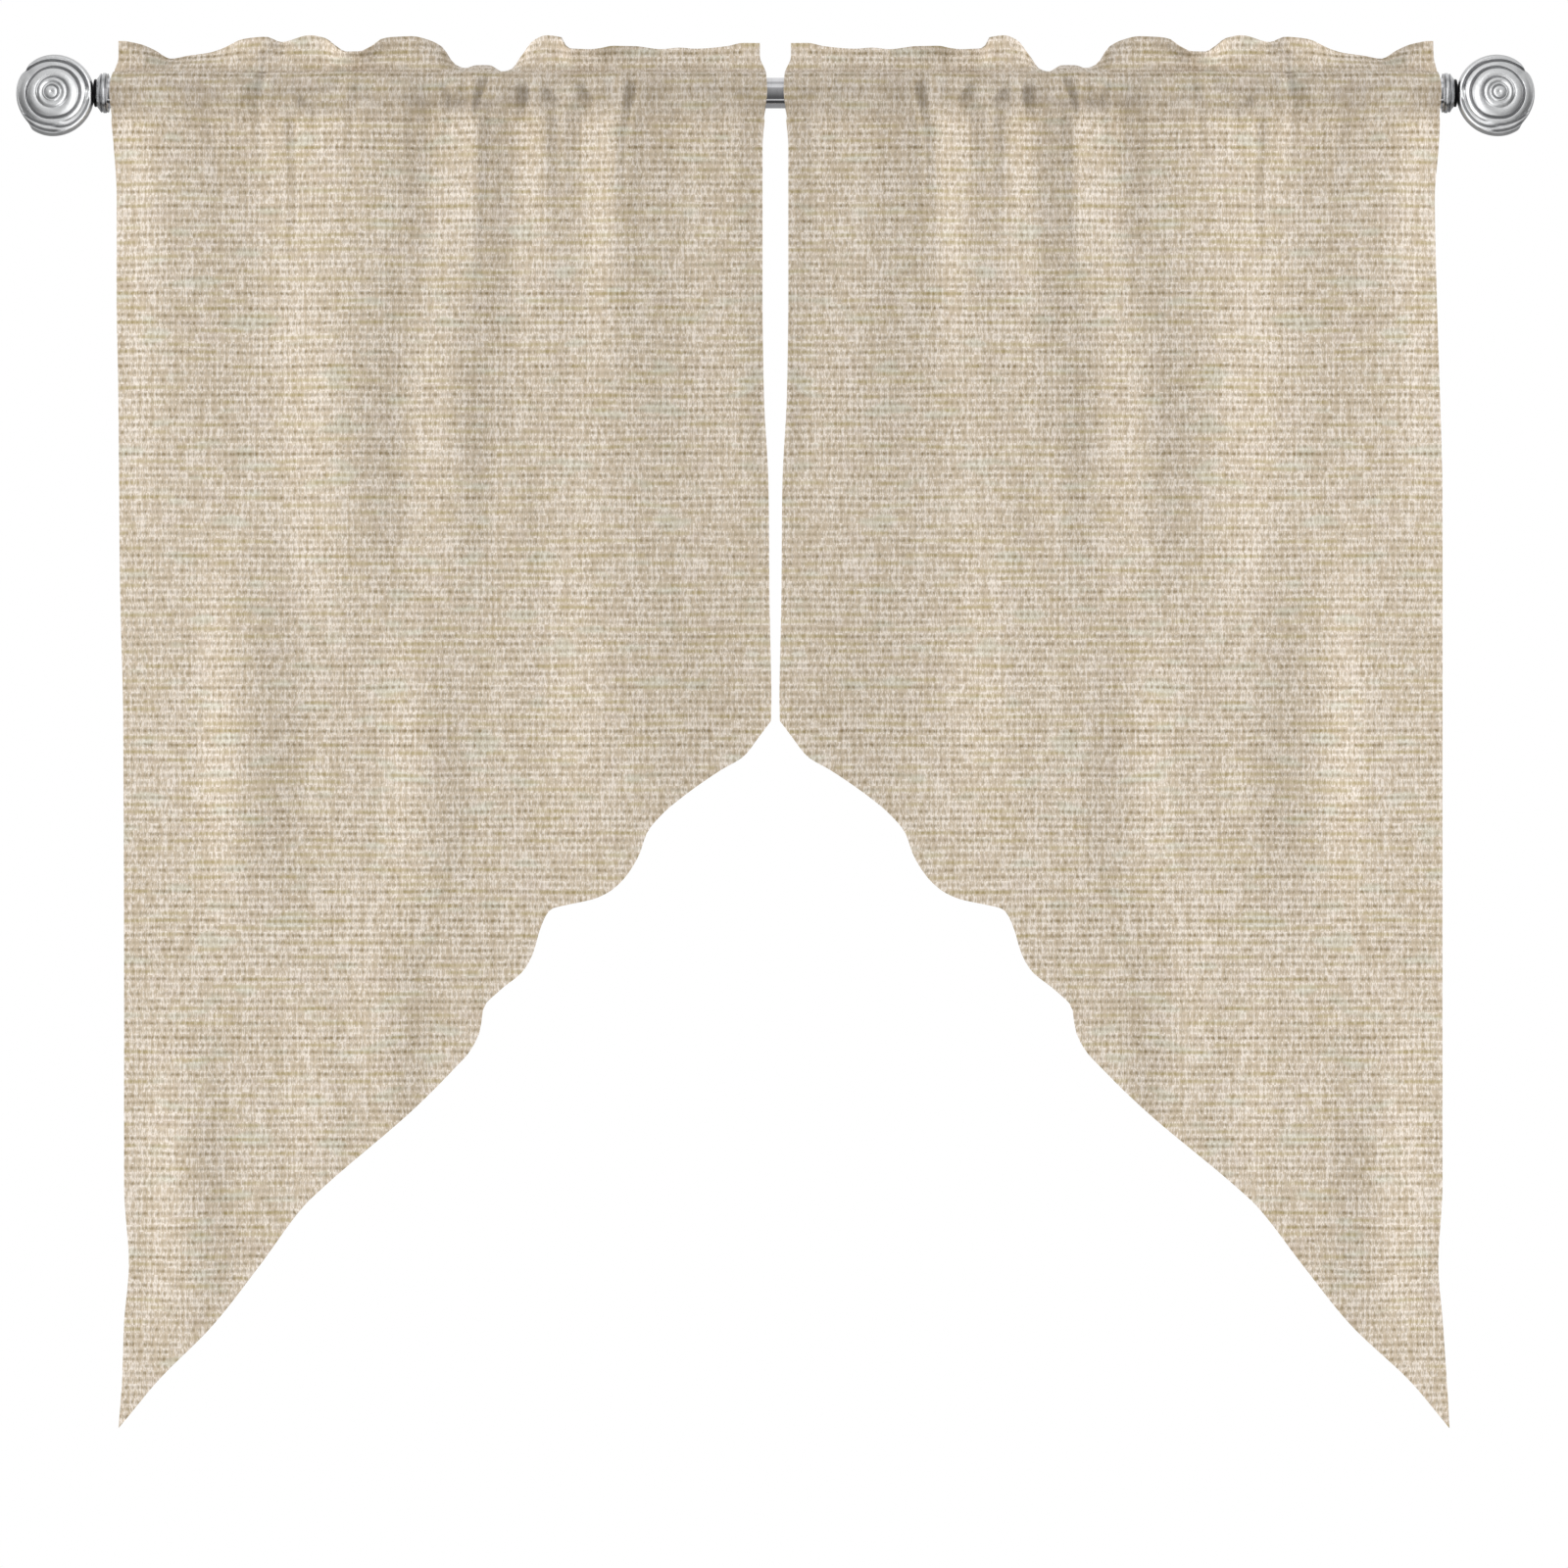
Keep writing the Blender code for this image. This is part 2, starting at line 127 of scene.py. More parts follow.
def bump(x):
    """1 at the middle, falling smoothly to 0 at a distance of 1."""
    return math.cos(0.5 * math.pi * x) ** 2 if abs(x) < 1 else 0.0


def ease(t):
    t = min(max(t, 0.0), 1.0)
    return t * t * (3 - 2 * t)


def two_sided(past, fold, spread=1.0):
    """A bump that falls away over the fold's easy side outward and its steep side inward."""
    return bump(past / ((fold.easy if past > 0 else fold.steep) * spread))


print("a bump half way out:", round(bump(0.5), 2))


# %% [markdown]
# ## The cut of a panel
# A panel is an upright rectangle with its lower inner corner cut away. Its sides step out at the
# pocket, where the rod fills the cloth, and waver below it. The right panel's outer edge hangs up
# to 10 mm further out than the left's. The hem has a bay, two lobes and a long wavy diagonal.

# %% Side edges and hem
Edge = namedtuple("Edge", "z inner outer_left outer_right")
EDGES = rows(
    Edge,
    (38, 10.2, 432.3, 432.6), (24, 10.2, 432.3, 433.2), (13, 6.2, 435.4, 435.6),
    (0, 5.4, 436.8, 436.8), (-16, 7.7, 436.6, 436.8), (-36, 9.3, 434.9, 435.9),
    (-68, 9.3, 433.0, 433.4), (-132, 9.3, 433.0, 434.6), (-197, 8.4, 431.7, 436.5),
    (-261, 5.3, 431.0, 438.0), (-326, 4.8, 430.4, 438.1), (-410, 3.4, 428.4, 438.1),
    (-600, 3.4, 427.8, 438.1), (-719, 3.4, 427.8, 438.1), (-771, 3.4, 424.6, 435.4),
    (-810, 3.4, 427.8, 438.4), (-848, 3.4, 429.1, 441.0), (-877, 3.4, 431.6, 442.9),
)

Hem = namedtuple("Hem", "z out")
HEM = rows(
    Hem,
    (-413, 3.4), (-424, 12), (-436, 21.5), (-445, 36.5), (-461, 59.5), (-474, 75), (-487, 85.5),
    (-500, 90), (-513, 97.5), (-523, 107), (-529, 118), (-537, 149), (-551, 156), (-565, 160),
    (-577, 166.5), (-590, 182), (-602, 193), (-616, 195), (-629, 201), (-642, 212.5), (-668, 238.5),
    (-719, 297.5), (-732, 311), (-771, 340), (-810, 370.5), (-848, 408), (-877, 431.6),
)

INNER = table_curve(EDGES, "z", "inner")
OUTER_LEFT = table_curve(EDGES, "z", "outer_left")
OUTER_RIGHT = table_curve(EDGES, "z", "outer_right")
HEM_OUT = table_curve(HEM, "z", "out")
HEM_TOP = HEM[0].z
HEM_TIP = HEM[-1].z
FLARE_POWER = 1.5  # the right panel's flare grows toward its outer edge by this power


def across(z, share, right):
    """The distance out at a height, for a share of the way from the inner to the outer edge."""
    inner = INNER(z)
    left = inner + share * (OUTER_LEFT(z) - inner)
    if not right:
        return left
    return left + (OUTER_RIGHT(z) - OUTER_LEFT(z)) * share**FLARE_POWER


print("drop at the inner and outer edge in mm:", -HEM_TOP, -HEM_TIP)

# %% [markdown]
# ## The ruffle above the pocket
# The heading is a band of doubled cloth about 25 mm tall. Gathering makes it wave, and where it
# leans it looks shorter from the front. So each row of this table says how tall the ruffle looks
# at a place, and how far its top leans back (+) or forward (-) there.

# %% The ruffle's top edge
Ruffle = namedtuple("Ruffle", "out top lean")
HEADER = rows(
    Ruffle,
    (10, 32.8, -1), (20, 33.0, 0), (30, 31.0, 2), (51, 29.5, 4), (62, 30.2, 3), (74, 29.2, 4),
    (92, 31.0, 1), (106, 30.8, -3), (114, 28.6, -7), (122, 27.6, -9), (136, 28.2, -9),
    (141, 36.5, -3), (151, 38.0, 0), (159, 35.0, 3), (167, 26.0, 10), (175, 17.6, 16),
    (182, 15.8, 17), (190, 19.8, 15), (198, 19.8, 15), (206, 17.8, 15), (213, 20.3, 13),
    (221, 31.0, 5), (229, 35.0, 2), (240, 37.3, -1), (252, 36.8, -2), (260, 35.3, -4),
    (267, 30.0, -7), (275, 26.0, -10), (284, 25.8, -11), (291, 30.0, -8), (299, 36.2, -2),
    (309, 38.1, 0), (328, 33.9, 3), (338, 37.0, 0), (352, 36.0, 2), (368, 30.0, 8), (377, 27.5, 10),
    (391, 25.7, 12), (403, 23.8, 13), (414, 29.2, 6), (422, 32.3, 2), (432, 34.2, -1),
)
HEADER_TOP = table_curve(HEADER, "out", "top")
HEADER_LEAN = table_curve(HEADER, "out", "lean")
print("ruffle heights in mm:", min(r.top for r in HEADER), "to", max(r.top for r in HEADER))

# %% [markdown]
# ## Folds, swells, pinches and creases
# The gathers in the pocket start soft folds that fade as the cloth falls, each with a steep side toward
# the centre line and an easy side outward. Below them the cloth hangs in long shallow swells. In the
# pocket it pinches against the rod, and from some pinches a crease runs down. A cloth simulation would
# give other folds than the photograph's, so we place each one.

# %% The folds
Gather = namedtuple("Gather", "crest_top crest_end z_end easy steep height")
GATHERS = rows(
    Gather,
    (26, 28, -260, 34, 18, 2.5), (58, 54, -210, 30, 26, 2.0), (101, 114, -420, 34, 48, 7.0),
    (103, 110, -230, 13, 17, 2.4), (146, 148, -300, 27, 24, 4.4), (195, 203, -380, 42, 26, 4.6),
    (194, 200, -190, 14, 10, 2.4), (152, 153, -120, 14, 8, 1.8), (241, 250, -230, 26, 14, 2.2),
    (274, 290, -420, 62, 52, 7.5), (324, 322, -120, 20, 9, 1.6), (406, 398, -420, 34, 62, 5.4),
)

Swell = namedtuple("Swell", "crest z_start z_end easy steep height")
SWELLS = rows(
    Swell,
    (20, -90, -320, 30, 14, 1.4), (108, -240, -560, 56, 95, 7.0), (171, -215, -345, 22, 14, 1.2),
    (217, -60, -390, 38, 30, 4.8), (237, -280, -620, 34, 36, 4.0), (289, -70, -400, 42, 54, 5.0),
    (358, -230, -620, 34, 48, 6.5), (262, -480, -760, 34, 34, 4.0), (300, -560, -760, 34, 34, 3.0),
    (396, -560, -880, 34, 34, 4.5),
)

Wrinkle = namedtuple("Wrinkle", "out slant low high easy steep height")
WRINKLES = rows(
    Wrinkle,
    (47, 8, 0.02, 0.62, 20, 8, 1.2), (101, 2, -0.10, 0.66, 8, 4, 2.2),
    (114, -4, 0.25, 0.66, 8, 4, 1.4), (133, 2, 0.00, 0.68, 9, 4, 2.2),
    (155, 3, -0.10, 0.64, 8, 4, 1.7), (170, 0, 0.00, 0.66, 26, 4, 2.9),
    (198, -6, 0.00, 0.80, 9, 4, 2.0), (211, -28, 0.05, 0.64, 12, 4, 1.6),
    (241, 0, 0.00, 0.70, 32, 16, 2.4), (279, -8, 0.10, 0.70, 12, 4, 1.6),
    (297, 0, 0.32, 0.70, 20, 10, 2.2), (314, 3, -0.10, 0.36, 10, 5, 2.3),
    (331, 0, 0.30, 0.70, 8, 4, 1.4), (350, -4, 0.00, 0.66, 34, 10, 2.8),
)

Crease = namedtuple("Crease", "out drift length width depth")
CREASES = rows(
    Crease,
    (318, 2, 150, 4.5, 1.6), (339, -4, 60, 4.0, 1.2), (98, 5, 110, 4.5, 1.6),
    (128, 2, 50, 4.0, 1.1), (145, -2, 110, 4.5, 1.8), (190, 8, 190, 5.0, 2.4),
    (215, 5, 70, 4.0, 1.1), (240, -2, 60, 4.0, 0.9), (278, 6, 90, 5.0, 1.2), (66, 3, 60, 4.5, 0.9),
    (372, -6, 80, 6.0, 1.0),
)

Pinch = namedtuple("Pinch", "out_a z_a out_b z_b width")
PINCHES = rows(
    Pinch,
    (338, 26, 338, -2, 4.0), (218, 3, 213, -8, 4.0), (213, -8, 203, -6, 4.0),
    (191, 8, 198, -11, 3.5), (166, 1, 165, -7, 5.0), (149, -1, 144, -6, 4.5), (95, 3, 97, -9, 5.0),
    (311, -7, 304, -14, 5.5), (128, 2, 122, -5, 4.0),
)


def pinched(out, z):
    """1 on the line of a pinch in the pocket, falling to 0 at its width."""
    strength = 0.0
    for p in PINCHES:
        run = (p.out_b - p.out_a, p.z_b - p.z_a)
        along = ((out - p.out_a) * run[0] + (z - p.z_a) * run[1]) / (run[0] ** 2 + run[1] ** 2)
        along = min(max(along, 0.0), 1.0)
        away = math.hypot(out - p.out_a - along * run[0], z - p.z_a - along * run[1])
        strength = max(strength, bump(away / p.width))
    return strength


small_ones = len(WRINKLES) + len(CREASES) + len(PINCHES)
print(len(GATHERS), "gathers,", len(SWELLS), "swells and", small_ones, "smaller folds")

# %% [markdown]
# ## How far forward the cloth stands
# One function adds the tables up: the depth of the hanging cloth at any place. Two small terms
# make it uneven as cloth is: puckers where a seam draws in the weave, and a gentle noise that is
# the same on every run.

# %% Depth of the hanging cloth
HEADER_SEAM = 12.4  # heights of the two rows of stitching that close the pocket
POCKET_SEAM = -18.0
FOLD_MIDDLE = 3.0
SETTLE_DROP = 300.0  # the cloth has come back under the rod's axis by this far down
GATHER_SPREAD = 0.5
PUCKER_PITCH = 9.0
PUCKER_DEPTH = 0.35
PUCKER_REACH = 12.0  # how far from a seam its puckers fade
PUCKER_DRIFT = 0.6  # how far, in pitches, a pucker may stand from its even place
UNEVEN_SIZE = 70.0
UNEVEN_DEPTH = 0.9
UNEVEN_FINE = 0.12  # the share of a finer unevenness
UNEVEN_FROM = 60.0  # the seam holds the cloth even down to here
CREASE_FADE = 1.5


def gather_depth(out, z):
    depth = 0.0
    for g in GATHERS:
        fall = min(max((POCKET_SEAM - z) / (POCKET_SEAM - g.z_end), 0.0), 1.0)
        past = out - (g.crest_top + (g.crest_end - g.crest_top) * fall)
        depth += g.height * (1 - ease(fall)) * two_sided(past, g, 1 + GATHER_SPREAD * fall)
    return depth


def swell_depth(out, z):
    depth = 0.0
    for s in SWELLS:
        if s.z_end < z < s.z_start:
            along = math.sin(math.pi * (s.z_start - z) / (s.z_start - s.z_end)) ** 2
            depth += s.height * along * two_sided(out - s.crest, s)
    return depth


def crease_depth(out, z):
    depth = 0.0
    for c in CREASES:
        fall = (POCKET_SEAM - z) / c.length
        if 0 <= fall < 1:
            past = out - c.out - c.drift * fall
            depth += c.depth * (1 - fall) ** CREASE_FADE * bump(past / c.width)
    return depth


def pucker(out, distance):
    """Small ripples along a seam, fading away from it."""
    strength = 0.5 + 0.5 * noise.noise(Vector((out / 23, 4.7, 0)))
    drift = PUCKER_DRIFT * noise.noise(Vector((out / 31, 0, 9)))
    wave = math.sin(2 * math.pi * (out / PUCKER_PITCH + drift))
    return PUCKER_DEPTH * strength * wave * math.exp(-abs(distance) / PUCKER_REACH)


def unevenness(out, z):
    place = Vector((out / UNEVEN_SIZE, z / (2 * UNEVEN_SIZE), 1.5))
    return UNEVEN_DEPTH * (noise.noise(place) + UNEVEN_FINE * noise.noise(place * 2.7))


def hang_depth(out, z):
    """The cloth's place in depth below the pocket, with the rod's axis at 0."""
    drop = POCKET_SEAM - z
    settle = ease(drop / SETTLE_DROP)
    folds = gather_depth(out, z) + swell_depth(out, z) - crease_depth(out, z)
    small = pucker(out, drop) + unevenness(out, z) * ease(drop / UNEVEN_FROM)
    return FOLD_MIDDLE * (1 - settle) - folds - small


print("depth under the pocket in mm:", [round(hang_depth(out, -30), 1) for out in range(20, 430, 60)])

# %% [markdown]
# ## The pocket and the header, in section
# Seen from the side, the pocket is two layers that part at the lower seam, pass round the rod and
# meet again at the header seam just above it. The share says how far up a layer we are. Above the
# upper seam both layers are one band, which bends away by its lean.

# %% Section through pocket and header
POCKET_RADIUS = 13.4
POCKET_RIPPLE = 0.12  # how much of the gathers' depth carries on through the pocket's front
POCKET_FROM = -50  # degrees round the rod that the layers follow
POCKET_TO = 90
POCKET_LIP = 0.9  # how far a layer may stand above the upper seam as it comes over the rod
WRINKLE_POWER = 0.6
HEADER_CURVE = 1.4
HEADER_RIPPLE = 0.8
PINCH_DEPTH = 1.6
DEPTH_SHARE = 0.3  # how much a run in depth counts along the weave, beside the rise
BACK_RUN = 80.0  # where the pocket's back layer is cut from, on the cloth
SEAM_EASE = 0.22  # the share over which a layer rounds into its seam
SEAM_RUN = 18.6  # how much cloth that takes


def wrinkle_depth(out, share):
    depth = 0.0
    for w in WRINKLES:
        if w.low < share < w.high:
            middle = (w.low + w.high) / 2
            along = bump((share - middle) / (w.high - middle)) ** WRINKLE_POWER
            depth += w.height * along * two_sided(out - w.out - w.slant * (share - middle), w)
    return depth


def round_part(out, share, front):
    """The layer's place on the round of the rod."""
    angle = math.radians(POCKET_FROM + (POCKET_TO - POCKET_FROM) * share)
    if not front:
        return POCKET_RADIUS * math.cos(angle), POCKET_RADIUS * math.sin(angle)
    radius = POCKET_RADIUS + POCKET_RIPPLE * gather_depth(out, POCKET_SEAM)
    radius += wrinkle_depth(out, share) + pucker(out, 3)
    radius -= PINCH_DEPTH * pinched(out, radius * math.sin(angle))
    return -radius * math.cos(angle), radius * math.sin(angle)


def pocket_point(out, share, front):
    """Depth and height in the pocket: share runs from the lower seam up to the header seam."""
    low = (hang_depth(out, POCKET_SEAM), POCKET_SEAM)
    high = (0.0, HEADER_SEAM)
    if share <= 0:
        return low
    if share >= 1:
        return high
    if share < SEAM_EASE:
        to = round_part(out, SEAM_EASE, front)
        t = share / SEAM_EASE
        return low[0] + (to[0] - low[0]) * t, low[1] + (to[1] - low[1]) * t
    depth, z = round_part(out, share, front)
    return depth, min(z, HEADER_SEAM + POCKET_LIP)


def pocket_run(share):
    """How much cloth lies between the lower seam and a share of the way up a layer."""
    straight = min(share, SEAM_EASE) / SEAM_EASE * SEAM_RUN
    turn = math.radians(POCKET_TO - POCKET_FROM) * max(share - SEAM_EASE, 0.0)
    return straight + POCKET_RADIUS * turn


def weave_run(out, share):
    """How far up the weave the pocket's front is, with rows at nearly even heights as seen."""
    rise = pocket_point(out, share, True)[1] - POCKET_SEAM
    return rise + DEPTH_SHARE * (pocket_run(share) - rise)


def header_point(out, share):
    top = HEADER_TOP(out)
    lean = HEADER_LEAN(out) * share**HEADER_CURVE
    ripple = HEADER_RIPPLE * share * noise.noise(Vector((out / 9, share, 6.1)))
    ripple += pucker(out, PUCKER_REACH * share)
    return lean + ripple, HEADER_SEAM + (top - HEADER_SEAM) * share


section = [pocket_point(200, share / 4, True) for share in range(5)]
print("section at 200 mm out:", [(round(depth, 1), round(z, 1)) for depth, z in section])

# %% [markdown]
# ## From numbers to a mesh
# A grid gives clean rows and columns for cloth. We make it flat with Blender's own operator and
# then move each point where our functions say. It remembers its place on the cloth in metres as a
# UV map, so that the weave later follows the threads and not the room.


# %% A grid whose points we place
WELD = 0.01 * MM  # points nearer than this become one


def placed_grid(wide, tall, place):
    """place(i, j) returns a point in metres and its (u, v) on the cloth in metres."""
    bm = bmesh.new()
    bmesh.ops.create_grid(bm, x_segments=wide, y_segments=tall, size=1.0)
    layer = bm.loops.layers.uv.new("UVMap")
    known = {}
    for v in bm.verts:
        i = round((v.co.x + 1) / 2 * wide)
        j = round((v.co.y + 1) / 2 * tall)
        v.co, known[v] = place(i, j)
    for face in bm.faces:
        for loop in face.loops:
            loop[layer].uv = known[loop.vert]
    return bm


def take_mesh(bm, name):
    mesh = bpy.data.meshes.new(name)
    bm.to_mesh(mesh)
    bm.free()
    return mesh


def join_grids(grids, name):
    """One mesh from several grids, welded where their edges meet."""
    whole = bmesh.new()
    for bm in grids:
        piece = take_mesh(bm, name + "_grid")
        whole.from_mesh(piece)
        bpy.data.meshes.remove(piece)
    bmesh.ops.remove_doubles(whole, verts=whole.verts, dist=WELD)
    return take_mesh(whole, name)


print("points weld within", WELD / MM, "mm")


# %% [markdown]
# ## One panel
# The front sheet runs from the hem up through the pocket's front to the ruffle's top. A second
# sheet is the pocket's back. A strip along the sides and the hem turns the edge over to the back,
# as a sewer does. Columns are spread along the hem, so that its steep places get enough of them.

# %% Rows, columns and the turned edge
COLUMNS = 156
DROP_ROWS = 236
POCKET_STEPS = 20
HEADER_ROWS = 14
STATION_LEAN = 0.35  # how much a drop in the hem counts against a step outward, for the columns
TURN_GAP = 1.15  # depth between the cloth and its turned edge
TURN_STEPS = ((0.0, 0.0), (0.5, 0.8), (1.3, 1.0), (4.5, 1.0), (8.0, 1.0))  # inward, share of the gap
TURN_FADE = 16.0  # the turned edge narrows over this length toward a corner
TURN_LEAST = 0.12  # to this share of its width


def hem_stations(count):
    """Heights along the hem, spread so that steep places get their share of the columns."""
    samples = 4000
    heights = [HEM_TOP + (HEM_TIP - HEM_TOP) * i / samples for i in range(samples + 1)]
    run = [0.0]
    for a, b in zip(heights, heights[1:]):
        run.append(run[-1] + math.hypot(HEM_OUT(b) - HEM_OUT(a), STATION_LEAN * (b - a)))
    at = smooth_curve(list(zip(run, heights)))
    return [at(run[-1] * i / count) for i in range(count + 1)]


STATIONS = hem_stations(COLUMNS)
SHARES = [(HEM_OUT(z) - INNER(z)) / (OUTER_LEFT(z) - INNER(z)) for z in STATIONS]
OWN = [INNER(POCKET_SEAM) + s * (OUTER_LEFT(POCKET_SEAM) - INNER(POCKET_SEAM)) for s in SHARES]
print("columns:", len(STATIONS), "rows:", DROP_ROWS + POCKET_STEPS + HEADER_ROWS)

# %% [markdown]
# Three grids make the panel. The turned edge narrows at the corners, where it is folded under.

# %% The panel's middle surface
def panel_sheet(right):
    """Points and cloth coordinates of one panel's front, pocket back and turned edge."""
    sign = 1 if right else -1

    def hang_z(i, j):
        return STATIONS[i] + (POCKET_SEAM - STATIONS[i]) * j / DROP_ROWS

    def spot(i, depth, z, v, inward=(0.0, 0.0)):
        out = across(z, SHARES[i], right) + inward[0]
        place = Vector((sign * out, depth, z + inward[1])) * MM
        return place, (out * MM, (v + inward[1]) * MM)

    def front(i, j):
        if j <= DROP_ROWS:
            z = hang_z(i, j)
            return spot(i, hang_depth(OWN[i], z), z, z)
        if j <= DROP_ROWS + POCKET_STEPS:
            share = (j - DROP_ROWS) / POCKET_STEPS
            depth, z = pocket_point(OWN[i], share, front=True)
            return spot(i, depth, z, POCKET_SEAM + weave_run(OWN[i], share))
        share = (j - DROP_ROWS - POCKET_STEPS) / HEADER_ROWS
        depth, z = header_point(OWN[i], share)
        rise = z - HEADER_SEAM + DEPTH_SHARE * abs(depth)
        return spot(i, depth, z, POCKET_SEAM + weave_run(OWN[i], 1) + rise)

    def back(i, j):
        share = j / POCKET_STEPS
        depth, z = pocket_point(OWN[i], share, front=False)
        return spot(i, depth, z, BACK_RUN + pocket_run(share))

    path = [(0, j) for j in range(DROP_ROWS, 0, -1)]
    path += [(i, 0) for i in range(COLUMNS + 1)]
    path += [(COLUMNS, j) for j in range(1, DROP_ROWS + 1)]
    flat = [(OWN[i], hang_z(i, j)) for i, j in path]
    corners = (DROP_ROWS, DROP_ROWS + COLUMNS)

    def turned(n, k):
        i, j = path[n]
        inward, rise = TURN_STEPS[k]
        a, b = flat[max(n - 2, 0)], flat[min(n + 2, len(flat) - 1)]
        run = math.hypot(b[0] - a[0], b[1] - a[1])
        near = min(math.dist(flat[n], flat[c]) for c in corners)
        inward *= TURN_LEAST + (1 - TURN_LEAST) * ease(near / TURN_FADE)
        shift = (-(b[1] - a[1]) / run * inward, (b[0] - a[0]) / run * inward)
        z = flat[n][1]
        depth = hang_depth(OWN[i] + shift[0], z + shift[1]) + TURN_GAP * rise
        return spot(i, depth, z, z, shift)

    return [
        placed_grid(COLUMNS, DROP_ROWS + POCKET_STEPS + HEADER_ROWS, front),
        placed_grid(COLUMNS, POCKET_STEPS, back),
        placed_grid(len(path) - 1, len(TURN_STEPS) - 1, turned),
    ]


print("turned edge in mm:", TURN_STEPS[-1][0])


# %% [markdown]
# Such cloth is about a millimetre thick. Solidify's complex mode gives a branching sheet an even
# thickness, so it closes the pocket's two layers cleanly where they meet. We sharpen only the rim,
# because smooth shading across a thin rim draws a false bright line.

# %% Build both panels
CLOTH_THICKNESS = 1.0
RIM_ANGLE = math.radians(50)
PINCHES_FROM = -30.0  # painted shadow along the pinches lies above this height, on the front


def add_piece(name, mesh, replaced=()):
    """Links a piece, lets it ride on the frame's one body, and hides the frame's parts that it replaces.
    """
    ob = new_object(name, mesh)
    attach(ob, "root")
    if replaced:
        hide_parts(*replaced)
    return ob


def modify(ob, name, kind, **settings):
    modifier = ob.modifiers.new(name, kind)
    for key, value in settings.items():
        setattr(modifier, key, value)


def applied(ob):
    """Turns an object's modifiers into plain mesh."""
    deps = bpy.context.evaluated_depsgraph_get()
    old = ob.data
    ob.data = bpy.data.meshes.new_from_object(ob.evaluated_get(deps))
    ob.modifiers.clear()
    bpy.data.meshes.remove(old)


def add_panel(name, right):
    mesh = join_grids(panel_sheet(right), name)
    area = sum(p.area for p in mesh.polygons)
    ob = add_piece(name, mesh, [name.replace("cloth", "panel")])
    modify(
        ob, "Cloth thickness", "SOLIDIFY", solidify_mode="NON_MANIFOLD",
        nonmanifold_thickness_mode="CONSTRAINTS", nonmanifold_boundary_mode="NONE",
        thickness=CLOTH_THICKNESS * MM, offset=0.0,
    )
    applied(ob)
    ob.data.shade_smooth()
    ob.data.set_sharp_from_angle(angle=RIM_ANGLE)
    # painted shadow along the pinches, which the cloth's colour reads
    pinch_shadow = ob.data.attributes.new("pinched", "FLOAT", "POINT")
    for v, mark in zip(ob.data.vertices, pinch_shadow.data):
        if v.co.z > PINCHES_FROM * MM and v.co.y < 0:
            mark.value = pinched(abs(v.co.x) / MM, v.co.z / MM)
    print(name, "has", len(ob.data.polygons) * 2, "triangles and", round(area, 4), "m2 of cloth")
    return ob, area


cloth_left, area_left = add_panel("cloth_left", right=False)
cloth_right, area_right = add_panel("cloth_right", right=True)

# %% [markdown]
# ## Stitches
# Two rows of lockstitch close each pocket, in thread of the cloth's own colour. A dashed texture
# could draw them, but real ones catch light and cast small shadows. Each is a small sphere
# stretched into a grain, laid along the seam on the front and on the back.

# %% Sew the pockets
STITCH_PITCH = 3.4
STITCH_SIZE = (2.5, 0.55, 0.55, 1)
STITCH_LIFT = CLOTH_THICKNESS / 2 + 0.1
STITCH_ROWS = (HEADER_SEAM + 1.6, POCKET_SEAM - 1.2)
FRONT, BACK = -1, 1


def seam_depth(own, z):
    if z > HEADER_SEAM:
        share = (z - HEADER_SEAM) / (HEADER_TOP(own) - HEADER_SEAM)
        return header_point(own, share)[0]
    return hang_depth(own, z)


def stitch_grain():
    """One stitch, lying along X."""
    bm = bmesh.new()
    bmesh.ops.create_uvsphere(bm, u_segments=6, v_segments=6, radius=MM / 2)
    mesh = take_mesh(bm, "stitch")
    mesh.transform(Matrix.Diagonal(STITCH_SIZE))
    return mesh


def add_stitches(name, right):
    sign = 1 if right else -1
    grain_mesh = stitch_grain()
    bm = bmesh.new()
    for z, face in product(STITCH_ROWS, (FRONT, BACK)):
        first, last = across(z, 0, right), across(z, 1, right)
        for n in range(int((last - first) / STITCH_PITCH) - 1):
            out = first + STITCH_PITCH * (n + 1)
            own = OWN[0] + (out - first) / (last - first) * (OWN[-1] - OWN[0])
            slope = (seam_depth(own + 1, z) - seam_depth(own - 1, z)) / 2
            place = Vector((sign * out, seam_depth(own, z) + face * STITCH_LIFT, z)) * MM
            turn = Matrix.Rotation(math.atan(slope) * sign, 4, "Z")
            one = grain_mesh.copy()
            one.transform(Matrix.Translation(place) @ turn)
            bm.from_mesh(one)
            bpy.data.meshes.remove(one)
    bpy.data.meshes.remove(grain_mesh)
    mesh = take_mesh(bm, name)
    mesh.shade_smooth()
    return add_piece(name, mesh)


stitches_left = add_stitches("stitches_left", right=False)
stitches_right = add_stitches("stitches_right", right=True)
print("stitch faces:", len(stitches_left.data.polygons), len(stitches_right.data.polygons))

# %% [markdown]
# ## The rod
# The bar is bright plated steel and shows only in the gap between the panels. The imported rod's 48
# flat sides would break a mirror finish into stripes. A cone with equal ends and four times as
# many sides stays round to the eye.

# %% Draw a rounder rod
ROD_RADIUS = 10.0
ROD_SEGMENTS = 192
SHARP = math.radians(40)


def finish_round(mesh):
    mesh.shade_smooth()
    mesh.set_sharp_from_angle(angle=SHARP)
    return mesh


rod_low, rod_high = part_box("rod")
bm = bmesh.new()
bmesh.ops.create_cone(
    bm, cap_ends=True, segments=ROD_SEGMENTS, radius1=ROD_RADIUS * MM, radius2=ROD_RADIUS * MM,
    depth=rod_high.x - rod_low.x, matrix=Matrix.Rotation(math.pi / 2, 4, "Y"),
)
rod_bar = add_piece("rod_bar", finish_round(take_mesh(bm, "rod_bar")), ["rod"])
print("rod length in mm:", round((rod_high.x - rod_low.x) / MM, 1))

